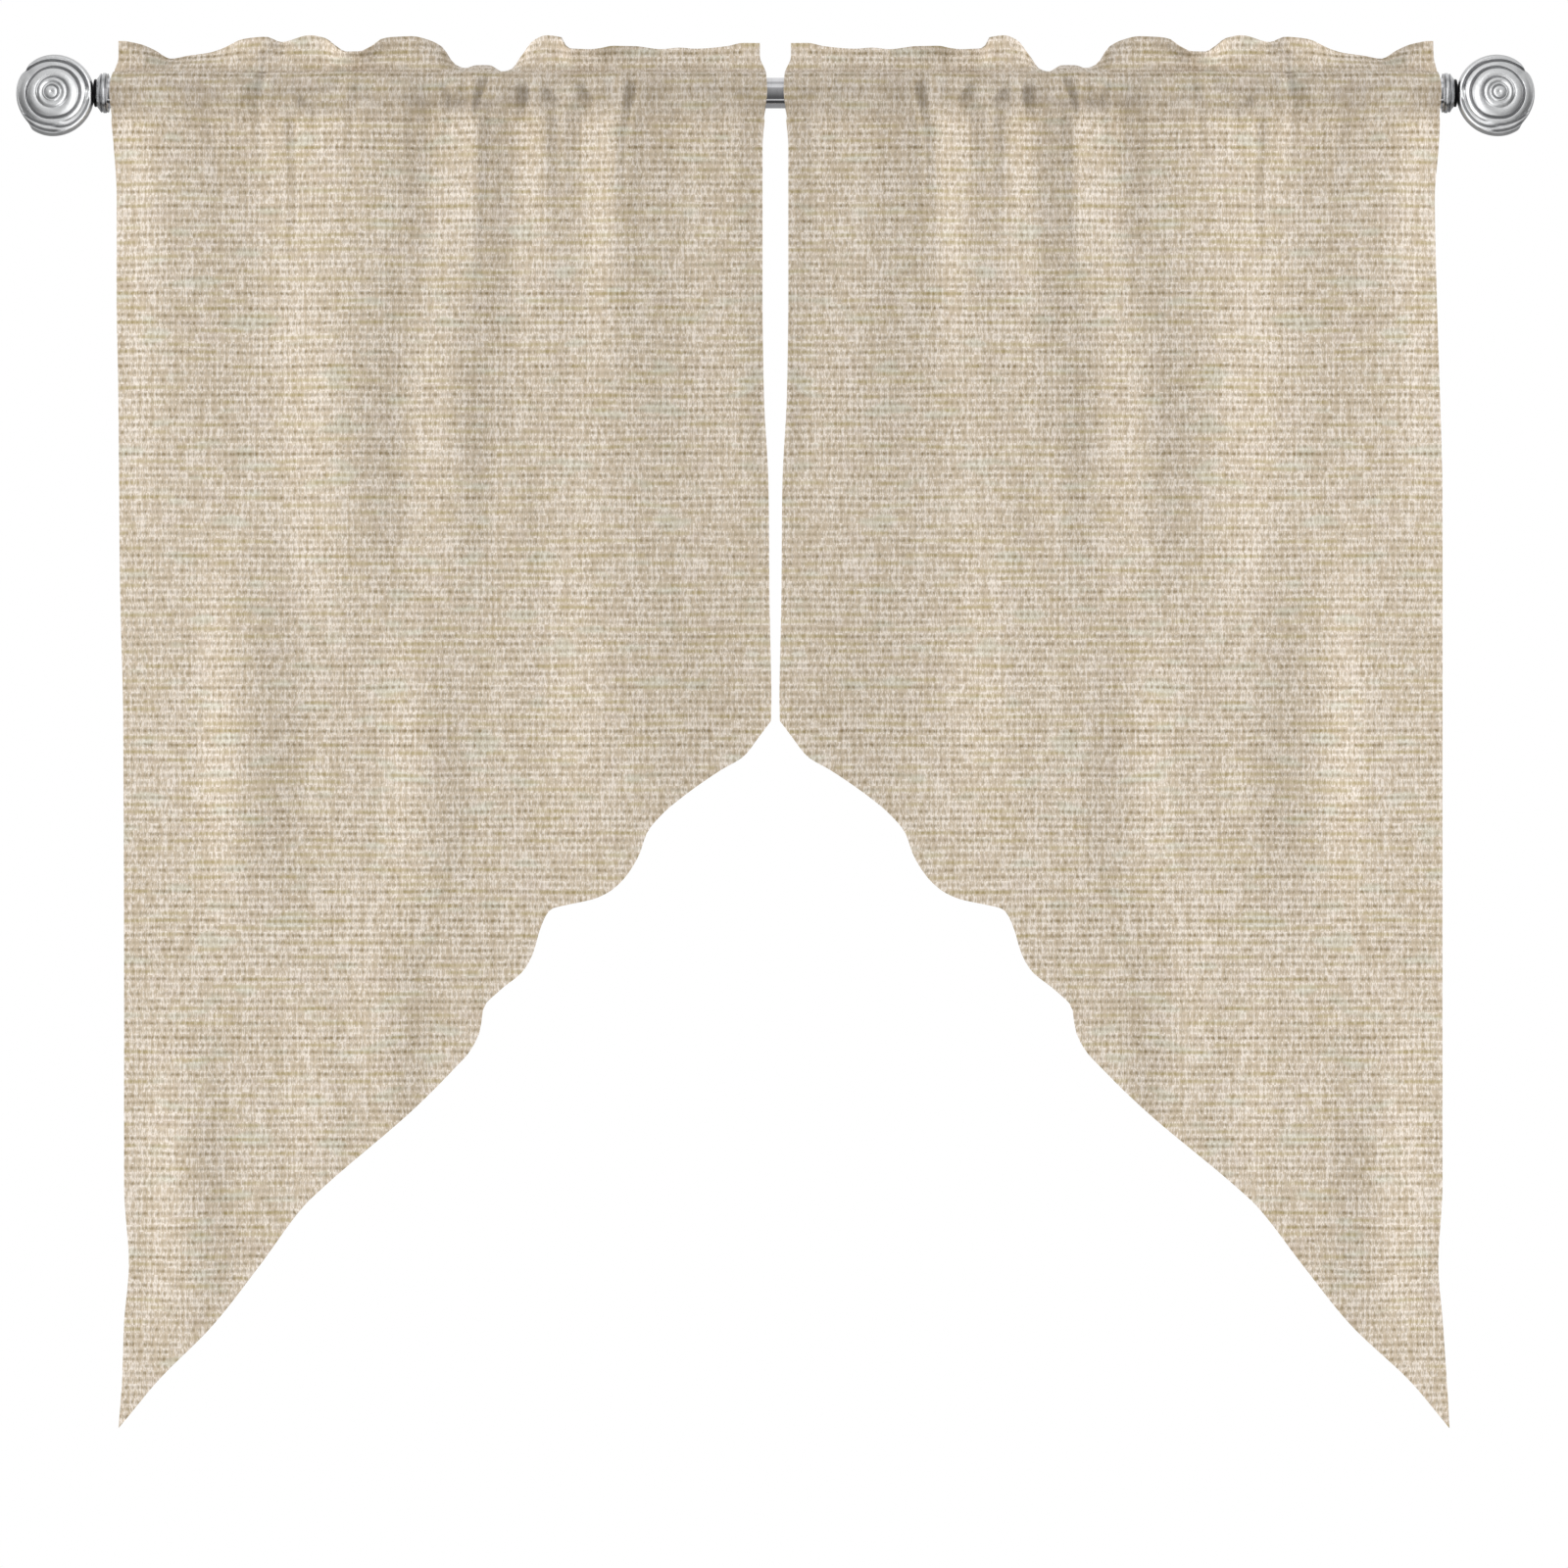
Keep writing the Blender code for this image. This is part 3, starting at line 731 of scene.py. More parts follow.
# %% [markdown]
# ## The collars
# Each end of the rod wears a turned collar with two grooves, which widens toward the cloth. A lathe
# makes such a piece, so we draw half of its section and spin it with a Screw modifier. A narrow
# Bevel then breaks every edge, because it is the rounded edges of metal that catch the light.

# %% Turn the collars
COLLAR_START = 438.9
COLLAR_DEPTH = 4.0
COLLAR_BORE = 10.3
NECK_RADIUS = 9.2
NECK_END = 446.4
COLLAR_STEPS = 96
COLLAR_BEVEL = 0.16
BEVEL_FROM = math.radians(20)  # edges that turn by more than this are broken
COLLAR_BOTTOM = COLLAR_START + COLLAR_DEPTH
COLLAR = (  # (out, radius) points round half of the section
    (COLLAR_BOTTOM, 0.0), (COLLAR_BOTTOM, COLLAR_BORE), (COLLAR_START, COLLAR_BORE),
    (COLLAR_START, 12.7), (439.3, 12.9), (439.5, 11.9), (440.0, 11.9), (440.3, 13.1),
    (442.2, 13.1), (442.6, 11.8), (443.1, 11.8), (443.4, 12.9), (444.1, 12.4), (445.2, 10.6),
    (NECK_END, NECK_RADIUS), (NECK_END, 0.0),
)


def turned_mesh(name, profile, steps, bevel):
    """Spins (out, radius) points in millimetres round the rod's axis."""
    bm = bmesh.new()
    verts = [bm.verts.new((radius * MM, 0, -out * MM)) for out, radius in profile]
    for a, b in zip(verts, verts[1:]):
        bm.edges.new((a, b))
    ob = new_object(name, take_mesh(bm, name))
    merge = {"use_merge_vertices": True, "merge_threshold": WELD}
    modify(ob, "Turned", "SCREW", steps=steps, render_steps=steps, **merge)
    modify(ob, "Broken edges", "BEVEL", width=bevel * MM, segments=2, angle_limit=BEVEL_FROM)
    applied(ob)
    mesh = ob.data
    bpy.data.objects.remove(ob)
    return finish_round(mesh)


def add_turned(name, side, profile, steps, bevel, replaced=()):
    """A turned piece, laid along the rod on its side of the centre line."""
    mesh = turned_mesh(name, profile, steps, bevel)
    mesh.transform(Matrix.Rotation(-side * math.pi / 2, 4, "Y"))
    print(name, "has", len(mesh.polygons), "faces")
    return add_piece(name, mesh, replaced)


SIDES = (("left", -1), ("right", 1))
collars = []
for end, side in SIDES:
    node = "collar_" + end
    collars.append(add_turned(node + "_ring", side, COLLAR, COLLAR_STEPS, COLLAR_BEVEL, [node]))

# %% [markdown]
# ## The finials
# Each finial looks like a wound coil: a round button, a bright ring, and bands that part at grooves
# until the last one runs out in a notch. A curve swept along a spiral would give round wire, but
# these bands are pressed from a disc. So we turn a sphere's circles into rings of the disc, and
# set each point's height from the grooves near it. Angles count from the side that faces the rod,
# up over the top.

# %% The finial's outline and grooves
FINIAL_CENTRE = 475.3
RING_RADIUS = 25.8
Rim = namedtuple("Rim", "angle radius")
RIM = rows(
    Rim,
    (-219, 23.1), (-208, 24.0), (-180, 24.2), (-155, 24.6), (-130, 25.6), (-118, 27.9), (-95, 28.4),
    (-45, 27.8), (0, 27.1), (45, 26.2), (90, 25.2), (128, 24.4), (141, 23.1),
)
Groove = namedtuple("Groove", "depth width fade path")  # path: (angle, radius) points
GROOVES = rows(
    Groove,
    (0.9, 0.75, 0, ((-219, 4.4), (141, 4.4))),
    (0.35, 0.5, 40, ((-80, 6.4), (60, 6.5), (135, 6.2))),
    (1.1, 0.9, 50, ((-60, 10.7), (-40, 10.8), (0, 11.0), (45, 10.6), (90, 9.8), (180, 9.3), (215, 9.4))),
    (1.5, 1.1, 0, ((-219, 15.8), (-180, 16.6), (-148, 16.9), (-113, 17.2), (-90, 16.9),
                   (-45, 18.1), (0, 18.4), (43, 17.7), (90, 16.3), (141, 15.8))),
    (1.7, 1.2, 14, ((0, 23.5), (22, 23.0), (44, 22.3), (88, 20.9), (115, 21.2), (136, 22.0), (150, 23.5))),
    (1.3, 1.0, 10, ((-150, 23.9), (-131, 22.4), (-115, 21.7), (-94, 21.5), (-76, 23.4),
                    (-55, 24.2), (-30, 24.1), (-6, 24.0))),
    (0.6, 0.7, 18, ((-80, 20.4), (-53, 21.5), (-30, 22.0), (0, 22.2))),
    (1.4, 1.0, 12, ((-140, 25.4), (-126, 25.2), (-100, 25.3), (-78, 25.9))),
)
rim_radius = table_curve(RIM, "angle", "radius")
groove_paths = [smooth_curve(g.path) for g in GROOVES]


def in_turn(angle, first):
    """The same direction, counted from the first angle up to a full turn past it."""
    return (angle - first) % 360 + first


def groove_dip(angle, radius):
    dip = 0.0
    for groove, path in zip(GROOVES, groove_paths):
        first, last = groove.path[0][0], groove.path[-1][0]
        a = in_turn(angle, first)
        if a > last:
            continue
        strength = 1.0
        if groove.fade:
            strength = ease((a - first) / groove.fade) * ease((last - a) / groove.fade)
        near = max(0.0, 1 - abs(radius - path(a)) / groove.width)
        dip = max(dip, groove.depth * strength * near * near * (3 - 2 * near))
    return dip


print("deepest groove at the top in mm:", round(max(groove_dip(90, r / 10) for r in range(250)), 2))

# %% [markdown]
# Between two grooves a band is domed, so that it reflects a bright and a darker side, and the disc drops
# toward its rim. The back is a plain shallow dome. Each point remembers how deep it lies in a groove, so
# that the finish can paint shade there, darker the deeper the groove.

# %% Shape the disc
FRONT_ROWS = 88
BACK_ROWS = 12
FINIAL_SEGMENTS = 288
Band = namedtuple("Band", "inner outer crown")
BANDS = rows(  # crowns between the round grooves, in millimetres
    Band,
    (0.0, 4.4, 0.5), (4.4, 6.4, 0.4), (6.4, 10.6, 0.9),
    (10.6, 17.2, 0.75), (17.2, 22.6, 0.55), (22.6, 27.0, 0.6),
)
DISC_TOP = 9.4
DISC_DROP = 5.2
EDGE_SHARE = 0.96  # the disc's edge rounds over beyond this share of the outline
BACK_DEPTH = 8.9
GROOVE_SHADE_DEPTH = 1.0  # a groove this deep gets the full painted shade


def disc_height(angle, share):
    """Radius and height of the front, a share of the way from the centre to the outline."""
    degrees = in_turn(angle, RIM[0].angle)
    radius = share * (RING_RADIUS + share**2 * (rim_radius(degrees) - RING_RADIUS))
    height = DISC_TOP - DISC_DROP * share**2
    for band in BANDS:
        if band.inner <= radius < band.outer:
            t = 2 * (radius - band.inner) / (band.outer - band.inner) - 1
            height += band.crown * (1 - t * t)
    height -= groove_dip(angle, radius)
    over = max(0.0, (share - EDGE_SHARE) / (1 - EDGE_SHARE))
    return radius, height * math.sqrt(1 - over * over)


def finial_mesh(name, side):
    all_rows = FRONT_ROWS + BACK_ROWS
    bm = bmesh.new()
    bmesh.ops.create_uvsphere(bm, u_segments=FINIAL_SEGMENTS, v_segments=all_rows, radius=1)
    # painted shade in the grooves, by their depth
    groove_shade = bm.verts.layers.float.new("groove_shade")
    for v in bm.verts:
        row = round(math.acos(min(max(v.co.z, -1.0), 1.0)) / math.pi * all_rows)
        angle = math.atan2(v.co.y, v.co.x)
        if row <= FRONT_ROWS:
            radius, height = disc_height(math.degrees(angle), row / FRONT_ROWS)
            v[groove_shade] = min(groove_dip(math.degrees(angle), radius) / GROOVE_SHADE_DEPTH, 1.0)
        else:
            share = (all_rows - row) / BACK_ROWS
            radius = share * rim_radius(in_turn(math.degrees(angle), RIM[0].angle))
            height = -BACK_DEPTH * math.sqrt(1 - share * share)
        toward, up = radius * math.cos(angle), radius * math.sin(angle)
        v.co = Vector((side * (FINIAL_CENTRE - toward), -height, up)) * MM
    bmesh.ops.recalc_face_normals(bm, faces=bm.faces)
    mesh = take_mesh(bm, name)
    mesh.shade_smooth()
    return mesh


finials = []
for end, side in SIDES:
    mesh = finial_mesh("finial_disc_" + end, side)
    finials.append(add_piece("finial_disc_" + end, mesh, ["finial_" + end]))
    print(finials[-1].name, "has", len(mesh.polygons) * 2, "triangles")

# %% [markdown]
# ## The necks
# Between a collar and its disc is a short neck, which looks black because nothing bright faces it, so its
# finish is painted near black as shade.
# We turn it as a washer with a pin that runs into the disc, because a thick neck would come out
# through the disc's face.

# %% Turn the necks
NECK_GAP = 0.3
NECK_REACH = 456.0
NECK_START = NECK_END + NECK_GAP
PIN_RADIUS = 4.0
NECK_STEPS = 64
NECK_BEVEL = 0.2
NECK = (
    (NECK_START, 0.0), (NECK_START, 8.8), (447.2, 9.3), (448.1, 9.0), (448.5, PIN_RADIUS),
    (NECK_REACH, PIN_RADIUS), (NECK_REACH, 0.0),
)
necks = []
for end, side in SIDES:
    name = "finial_neck_" + end
    necks.append(add_turned(name, side, NECK, NECK_STEPS, NECK_BEVEL))

# %% [markdown]
# ## A short way to write nodes
# Materials here are node trees written as code. One helper adds a node and fills its sockets; the
# others find the tree from the socket they are given, so that arithmetic stays short to read.


# %% Node helpers
def add_node(tree, kind, inputs=None, **settings):
    """Adds a node; inputs maps socket names or numbers to values or output sockets."""
    made = tree.nodes.new(kind)
    for key, value in settings.items():
        setattr(made, key, value)
    for key, value in (inputs or {}).items():
        if isinstance(value, bpy.types.NodeSocket):
            tree.links.new(value, made.inputs[key])
        else:
            made.inputs[key].default_value = value
    return made


def after(kind, inputs, **settings):
    """Adds a node to the tree that its first linked input belongs to, and gives its outputs."""
    tree = next(v.id_data for v in inputs.values() if isinstance(v, bpy.types.NodeSocket))
    return add_node(tree, kind, inputs, **settings).outputs


def calc(operation, *values):
    return after("ShaderNodeMath", dict(enumerate(values)), operation=operation)[0]


def plus(*values):
    return reduce(partial(calc, "ADD"), values)


def times(*values):
    return reduce(partial(calc, "MULTIPLY"), values)


def minus(first, second):
    return calc("SUBTRACT", first, second)


def remap(value, low, high, to_low=0.0, to_high=1.0):
    """Spreads a value's range smoothly over another, held at both ends."""
    inputs = {0: value, 1: low, 2: high, 3: to_low, 4: to_high}
    return after("ShaderNodeMapRange", inputs, interpolation_type="SMOOTHSTEP")[0]


def blend(share, first, second):
    """Mixes two colours by a share."""
    return after("ShaderNodeMix", {0: share, 6: first, 7: second}, data_type="RGBA")[2]


def scaled(vector, factor):
    return after("ShaderNodeVectorMath", {0: vector, 3: factor}, operation="SCALE")[0]


def parts_of(vector):
    """The x, y and z of a vector."""
    return after("ShaderNodeSeparateXYZ", {0: vector})[:]


def vector_of(*parts):
    return after("ShaderNodeCombineXYZ", dict(enumerate(parts)))[0]


def grain(vector, scale=1.0, detail=2.0, roughness=0.5):
    """Smooth noise around 0.5."""
    inputs = {"Vector": vector, "Scale": scale, "Detail": detail, "Roughness": roughness}
    return after("ShaderNodeTexNoise", inputs)[0]


def flat_grain(x, y, x_size, y_size, detail=1.0, layer=0.0):
    """Noise over a surface with its own size along and across; each layer is another noise."""
    place = vector_of(calc("DIVIDE", x, x_size), calc("DIVIDE", y, y_size), layer)
    return grain(place, 1.0, detail)


def give(sockets, **values):
    """Links each value to the socket of its name, with _ for a space."""
    for name, value in values.items():
        value.id_data.links.new(value, sockets[name.replace("_", " ")])


def give_relief(shader, strength, distance, height):
    relief = after("ShaderNodeBump", {"Height": height, "Strength": strength, "Distance": distance})
    give(shader.inputs, Normal=relief[0])


def new_group(name, inputs, outputs):
    """An empty shader node group with named sockets, which puts out plain numbers."""
    tree = bpy.data.node_groups.new(name, "ShaderNodeTree")
    for label, kind, value in inputs:
        made = tree.interface.new_socket(label, in_out="INPUT", socket_type="NodeSocket" + kind)
        if value is not None:
            made.default_value = value
    for label in outputs:
        tree.interface.new_socket(label, in_out="OUTPUT", socket_type="NodeSocketFloat")
    return tree, tree.nodes.new("NodeGroupInput").outputs, tree.nodes.new("NodeGroupOutput").inputs


def use_group(group, inputs):
    return after("ShaderNodeGroup", inputs, node_tree=group)


def srgb(*screen):
    """A colour as it is picked on a screen, made linear for the shader."""
    linear = [c / 255 / 12.92 if c < 11 else ((c / 255 + 0.055) / 1.055) ** 2.4 for c in screen]
    return (*linear, 1.0)


def new_material(name, **sockets):
    """A material with one Principled shader, whose constants are set on its own sockets."""
    mat = bpy.data.materials.new(name)
    mat.use_nodes = True
    shader = mat.node_tree.nodes["Principled BSDF"]
    for key, value in sockets.items():
        shader.inputs[key.replace("_", " ").title().replace("Ior", "IOR")].default_value = value
    return mat, mat.node_tree, shader


def object_place(tree):
    return add_node(tree, "ShaderNodeTexCoord").outputs["Object"]


print("a mid grey:", [round(c, 3) for c in srgb(188, 188, 188)])

# %% [markdown]
# ## Loose fibre
# Linen and its thread share one thing: a fuzz of fibres that breaks up colour and catches light.
# We build it once, as a group, and place it in both materials with its own scale.

# %% The fibre group
LONG_SHARE = 0.7  # of the fibres that lie along the thread; the rest lie anyhow
fibre, inside, out = new_group(
    "Loose fibre",
    [("Place", "Vector", None), ("Scale", "Float", 1.0), ("Stretch", "Float", 4.0)],
    ["Fuzz", "Height"],
)
place = scaled(inside["Place"], inside["Scale"])
x, y, z = parts_of(place)
long_fibre = grain(vector_of(times(x, inside["Stretch"]), y, z), 1.0, 3.0, 0.6)
cross_fibre = grain(place, 2.3, 2.0, 0.5)
fuzz = plus(times(long_fibre, LONG_SHARE), times(cross_fibre, 1 - LONG_SHARE))
give(out, Fuzz=fuzz, Height=calc("POWER", fuzz, 1.5))
print("group:", fibre.name, "with", len(fibre.nodes), "nodes")

# %% [markdown]
# ## The weave: rows and threads
# Seen close, the cloth is a loose basket of slubby weft rows, nearly 5 mm apart, with finer warp
# threads between which the grooves show as uneven dark dots. An image could carry that, but nodes
# have no repeat and stay sharp. The rows waver slowly, and every row has its own random shift.
# The group works in millimetres of cloth, which the UV map holds.

# %% Lay the rows and threads
ROW_SWAY = 0.7  # how far rows waver and threads wander, in their own pitches
THREAD_WANDER = 0.6
LOOSE_SHIFT = 0.08
weave, inside, out = new_group(
    "Slub weave",
    [("Cloth", "Vector", None), ("Row pitch", "Float", 4.8), ("Thread pitch", "Float", 4.0)],
    ["Groove", "Gap", "Streak", "Slub", "Tint", "Height"],
)
x, y, _ = parts_of(scaled(inside["Cloth"], 1 / MM))
sway = minus(flat_grain(x, y, 90, 45), 0.5)
row_place = plus(calc("DIVIDE", y, inside["Row pitch"]), times(sway, ROW_SWAY))
row = calc("FLOOR", row_place)
row_layer = times(row, 7.31)  # each row reads another layer of a noise
from_groove = times(calc("ABSOLUTE", minus(calc("FRACT", row_place), 0.5)), 2.0)
loose_shift = after("ShaderNodeTexWhiteNoise", {"W": row}, noise_dimensions="1D")[0]
every_second = calc("FRACT", times(row, 0.5))
thread_place = plus(
    calc("DIVIDE", x, inside["Thread pitch"]),
    times(every_second, 0.5),
    times(loose_shift, LOOSE_SHIFT),
    times(flat_grain(x, y, 9, 30), THREAD_WANDER),
)
wave = calc("COSINE", times(thread_place, 2 * math.pi))
print("nodes that lay rows and threads:", len(weave.nodes))

# %% [markdown]
# ## The weave: grooves, yarn and slubs
# Where a groove crosses the threads it breaks into dots, and both come and go along a row. The yarn
# itself varies from pick to pick, in streaks finer than a thread, and here and there a thick slub
# of straw colour runs on for a few centimetres.

# %% Shade the rows and threads
GAP_RELIEF = 0.4  # how deep the gaps are beside the grooves
STREAK_RELIEF = 0.3  # how much of the relief comes from the yarn
groove = remap(from_groove, 0.80, 0.08)
patches = remap(flat_grain(x, row_layer, 10, 1, 2.0), 0.36, 0.60, 0.48, 1.0)
row_force = minus(calc("MULTIPLY_ADD", loose_shift, 0.36, 0.76), times(every_second, 0.30))
dots = remap(wave, -0.8, 0.6, 0.64, 1.0)
fine_dots = remap(flat_grain(x, y, 0.9, 2.4, 1.0, 6.6), 0.34, 0.58, 0.45, 1.15)
groove = times(groove, times(dots, fine_dots), times(patches, row_force))
gap = times(remap(wave, 0.1, 0.95), remap(flat_grain(x, y, 5, 7, 1.0, 1.3), 0.35, 0.65, 0.35, 1.0))
brick = vector_of(calc("ROUND", thread_place), row)
brick = after("ShaderNodeTexWhiteNoise", {"Vector": brick}, noise_dimensions="2D")[0]
yarn = minus(flat_grain(x, y, 150.0, 3.6, 1.0, 2.9), 0.5)
streak = plus(
    times(flat_grain(x, y, 0.65, 3.0, 2.0, row_layer), 0.60),
    times(flat_grain(x, y, 34, 20, 2.0, 5.7), 0.05),
    times(yarn, 0.07),
    times(flat_grain(x, y, 1.1, 40.0, 1.0, 4.4), 0.22),
    times(brick, 0.10),
)
streak = remap(streak, 0.44, 0.56)
slub = remap(flat_grain(x, row_layer, 34, 1, 1.0, 3.3), 0.54, 0.62)
slub = times(slub, remap(from_groove, 0.75, 0.25))
ridge = minus(minus(1.0, groove), times(gap, GAP_RELIEF))
height = plus(times(ridge, 1 - STREAK_RELIEF), times(streak, STREAK_RELIEF))
tint = flat_grain(x, y, 30, 12, 1.0, 8.1)
give(out, Groove=groove, Gap=gap, Streak=streak, Slub=slub, Tint=tint, Height=height)
print("group:", weave.name, "with", len(weave.nodes), "nodes")

# %% [markdown]
# ## Linen cloth
# The cloth is an oatmeal linen look: cream yarn in a mid beige ground, dark in the grooves, with a few
# straw threads and faint pink and green patches. The shader is rough with a little sheen, which is a
# constant, so it is set on the shader's own socket. Colours are laid over each other in turn. The last two
# are painted shade: a darker pocket band, where the second layer and the bar keep light from coming
# through, and shadow along the pinches.

# %% The cloth material
CREAM = srgb(253, 243, 232)
BEIGE = srgb(214, 198, 176)
SHADOWED = srgb(142, 124, 88)
STRAW = srgb(200, 184, 124)
ROSE = srgb(224, 208, 202)
SAGE = srgb(222, 224, 208)
# painted shade: the colour that stands for shade on the pocket band and at the pinches
PAINTED_SHADE_COLOUR = srgb(96, 84, 66)
POCKET_PAINTED_SHADE = 0.26  # how strong the painted shade on the pocket band is, where its second layer and the bar keep light from coming through
PINCH_SHADE = 0.26

linen, tree, shader = new_material(
    "oatmeal_linen", roughness=0.92, sheen_weight=0.12, sheen_roughness=0.5, specular_ior_level=0.25
)
cloth_uv = add_node(tree, "ShaderNodeUVMap", uv_map="UVMap").outputs[0]
woven = use_group(weave, {"Cloth": cloth_uv, "Row pitch": 4.8, "Thread pitch": 4.08})
fuzzy = use_group(fibre, {"Place": cloth_uv, "Scale": 700.0, "Stretch": 1.5})
up_cloth = parts_of(cloth_uv)[1]
# the pocket band between its seams, where painted shade darkens the cloth
above_seam = remap(up_cloth, (POCKET_SEAM - 3) * MM, (POCKET_SEAM + 14) * MM)
below_seam = remap(up_cloth, 13 * MM, 0.0)
uneven = remap(woven["Tint"], 0.35, 0.65, 0.6, 1.3)
# painted shadow along the pinches, kept on the mesh
pinch_shadow = add_node(tree, "ShaderNodeAttribute", attribute_name="pinched").outputs["Fac"]
LAYERS = (  # how much of a colour, and the colour
    (remap(fuzzy["Fuzz"], 0.35, 0.7, 0.0, 0.22), BEIGE),
    (remap(woven["Tint"], 0.58, 0.74, 0.0, 0.18), ROSE),
    (remap(woven["Tint"], 0.42, 0.28, 0.0, 0.42), SAGE),
    (times(woven["Gap"], 0.26), SHADOWED),
    (times(woven["Groove"], 0.71), SHADOWED),
    (times(woven["Slub"], 0.27), STRAW),
    # painted shade on the pocket band
    (times(above_seam, below_seam, POCKET_PAINTED_SHADE, uneven), PAINTED_SHADE_COLOUR),
    # painted shadow along the pinches
    (times(pinch_shadow, PINCH_SHADE), PAINTED_SHADE_COLOUR),
)
colour = blend(woven["Streak"], BEIGE, CREAM)
for amount, over in LAYERS:
    colour = blend(amount, colour, over)
give(shader.inputs, Base_Color=colour)
give_relief(shader, 0.5, 0.5 * MM, plus(woven["Height"], times(fuzzy["Height"], 0.15)))
print("colours laid over the ground:", len(LAYERS))

# %% [markdown]
# ## Sewing thread
# The thread is dyed to match, so it is the beige of the ground, a touch smoother than the linen,
# with the same loose fibre at a much finer scale.

# %% The thread material
thread, tree, shader = new_material("matching_thread", roughness=0.7, sheen_weight=0.1)
fuzzy = use_group(fibre, {"Place": object_place(tree), "Scale": 2500.0, "Stretch": 3.0})
give(shader.inputs, Base_Color=blend(fuzzy["Fuzz"], srgb(196, 180, 155), srgb(224, 211, 188)))
give_relief(shader, 0.4, 0.1 * MM, fuzzy["Height"])
print(thread.name, "has", len(tree.nodes), "nodes")

# %% [markdown]
# ## Nickel
# All the metal is nickel plate, but each piece is finished in its own way: the rod is polished, the
# collars are turned, the discs are brushed round their coils. One group makes fine lines and tells
# where hands have dulled the surface. Each material says which way runs across its own lines.

# %% The brushing group
brushing, inside, out = new_group(
    "Fine brushing",
    [("Across", "Float", 0.0), ("Along", "Float", 0.0), ("Line", "Float", 0.05)],
    ["Lines", "Dulling"],
)
lines = flat_grain(inside["Across"], inside["Along"], inside["Line"], 12.0, 2.0)
dulling = flat_grain(inside["Across"], inside["Along"], 9.0, 14.0, 3.0, 2.2)
give(out, Lines=remap(lines, 0.25, 0.75), Dulling=remap(dulling, 0.35, 0.7))
print("group:", brushing.name, "with", len(brushing.nodes), "nodes")

# %% [markdown]
# ## Four finishes from one recipe
# The recipe reads a place on the disc as a radius and a turn, and on the other pieces as a length along
# the rod. Painted shade darkens the grooves: the discs' grooves, whose depth the mesh remembers, and the
# collars' two grooves. The necks' near-black finish is painted shade as well.

# %% The nickel materials
GROOVE_SHADE_GREY = srgb(140, 140, 142)
RING_MIDDLES = (439.8, 442.8)  # the collar's two grooves
TURN_LENGTH = 12.0  # millimetres that a turn of one radian counts for along the brushing
WORN = 0.8  # how bright the dulled metal is beside the clean


def dark_rings(out):
    """Where the two grooves of a collar are, by the distance from the centre line."""
    away = [calc("ABSOLUTE", minus(out, middle)) for middle in RING_MIDDLES]
    return calc("MAXIMUM", *[remap(a, 0.55, 0.2) for a in away])


def nickel(name, tint, smooth, rough, relief, line, round_disc=False, ringed=False):
    """A nickel finish: rough runs from its smooth to its rough value with the lines and dulling."""
    mat, tree, shader = new_material(name, metallic=1.0)
    x, _, z = parts_of(scaled(object_place(tree), 1 / MM))
    across_lines, along_lines = x, z
    if round_disc:
        flat = minus(calc("ABSOLUTE", x), FINIAL_CENTRE)
        across_lines = calc("SQRT", plus(times(flat, flat), times(z, z)))
        along_lines = times(calc("ARCTAN2", z, flat), TURN_LENGTH)
    worked = use_group(brushing, {"Across": across_lines, "Along": along_lines, "Line": line})
    spread = plus(times(worked["Lines"], 0.5), times(worked["Dulling"], 0.5))
    darker = (*(c * WORN for c in tint[:3]), 1.0)
    colour = blend(remap(spread, 0.2, 0.9), tint, darker)
    if round_disc:
        # painted shade in the disc's grooves, darker where they are deeper
        grooves = add_node(tree, "ShaderNodeAttribute", attribute_name="groove_shade").outputs["Fac"]
        colour = blend(times(grooves, 0.8), colour, GROOVE_SHADE_GREY)
    # painted shade in the collar's two grooves
    if ringed:
        colour = blend(times(dark_rings(calc("ABSOLUTE", x)), 0.7), colour, GROOVE_SHADE_GREY)
    give(shader.inputs, Base_Color=colour, Roughness=remap(spread, 0.1, 0.9, smooth, rough))
    give_relief(shader, relief, 0.05 * MM, worked["Lines"])
    return mat


polished = nickel("polished_nickel", srgb(235, 235, 238), 0.03, 0.08, 0.05, 0.08)
turned = nickel("turned_nickel", srgb(215, 216, 218), 0.16, 0.28, 0.3, 0.06, ringed=True)
brushed = nickel("brushed_nickel", srgb(226, 227, 228), 0.26, 0.38, 0.35, 0.10, round_disc=True)
# painted shade: the neck's near-black colour stands for the dark gap between collar and disc
neck_painted_shade = nickel("neck_painted_shade", srgb(42, 42, 44), 0.3, 0.5, 0.1, 0.10)
print("finishes:", [m.name for m in (polished, turned, brushed, neck_painted_shade)])

# %% [markdown]
# ## Finishes on pieces
# A piece's slots are emptied first, so that each has one finish.


# %% Put the finishes on
def finish_with(mat, pieces):
    for ob in pieces:
        ob.data.materials.clear()
        ob.data.materials.append(mat)
    print(mat.name, "on", [ob.name for ob in pieces])


finish_with(linen, [cloth_left, cloth_right])
finish_with(thread, [stitches_left, stitches_right])
finish_with(polished, [rod_bar])
finish_with(turned, collars)
finish_with(brushed, finials)
finish_with(neck_painted_shade, necks)

# %% [markdown]
# ## What the cloth was before it hung
# Each panel was cut a little wider than it hangs, because the rod gathers it, and about 1 m long, for the
# pocket, the doubled heading and the hem. We print how much cloth each panel has.

PANELS = ((cloth_left, area_left, stitches_left), (cloth_right, area_right, stitches_right))
for ob, area, sewing in PANELS:
    print(ob.name, "was cut from", round(area, 3), "m2")

# %% [markdown]
# ## The floor
# The valance hangs well above it. The floor ends a little behind the object, so that the level view
# shows only white. Its reflection would flatten the dark stripes under the rod, so metal doesn't
# see it.

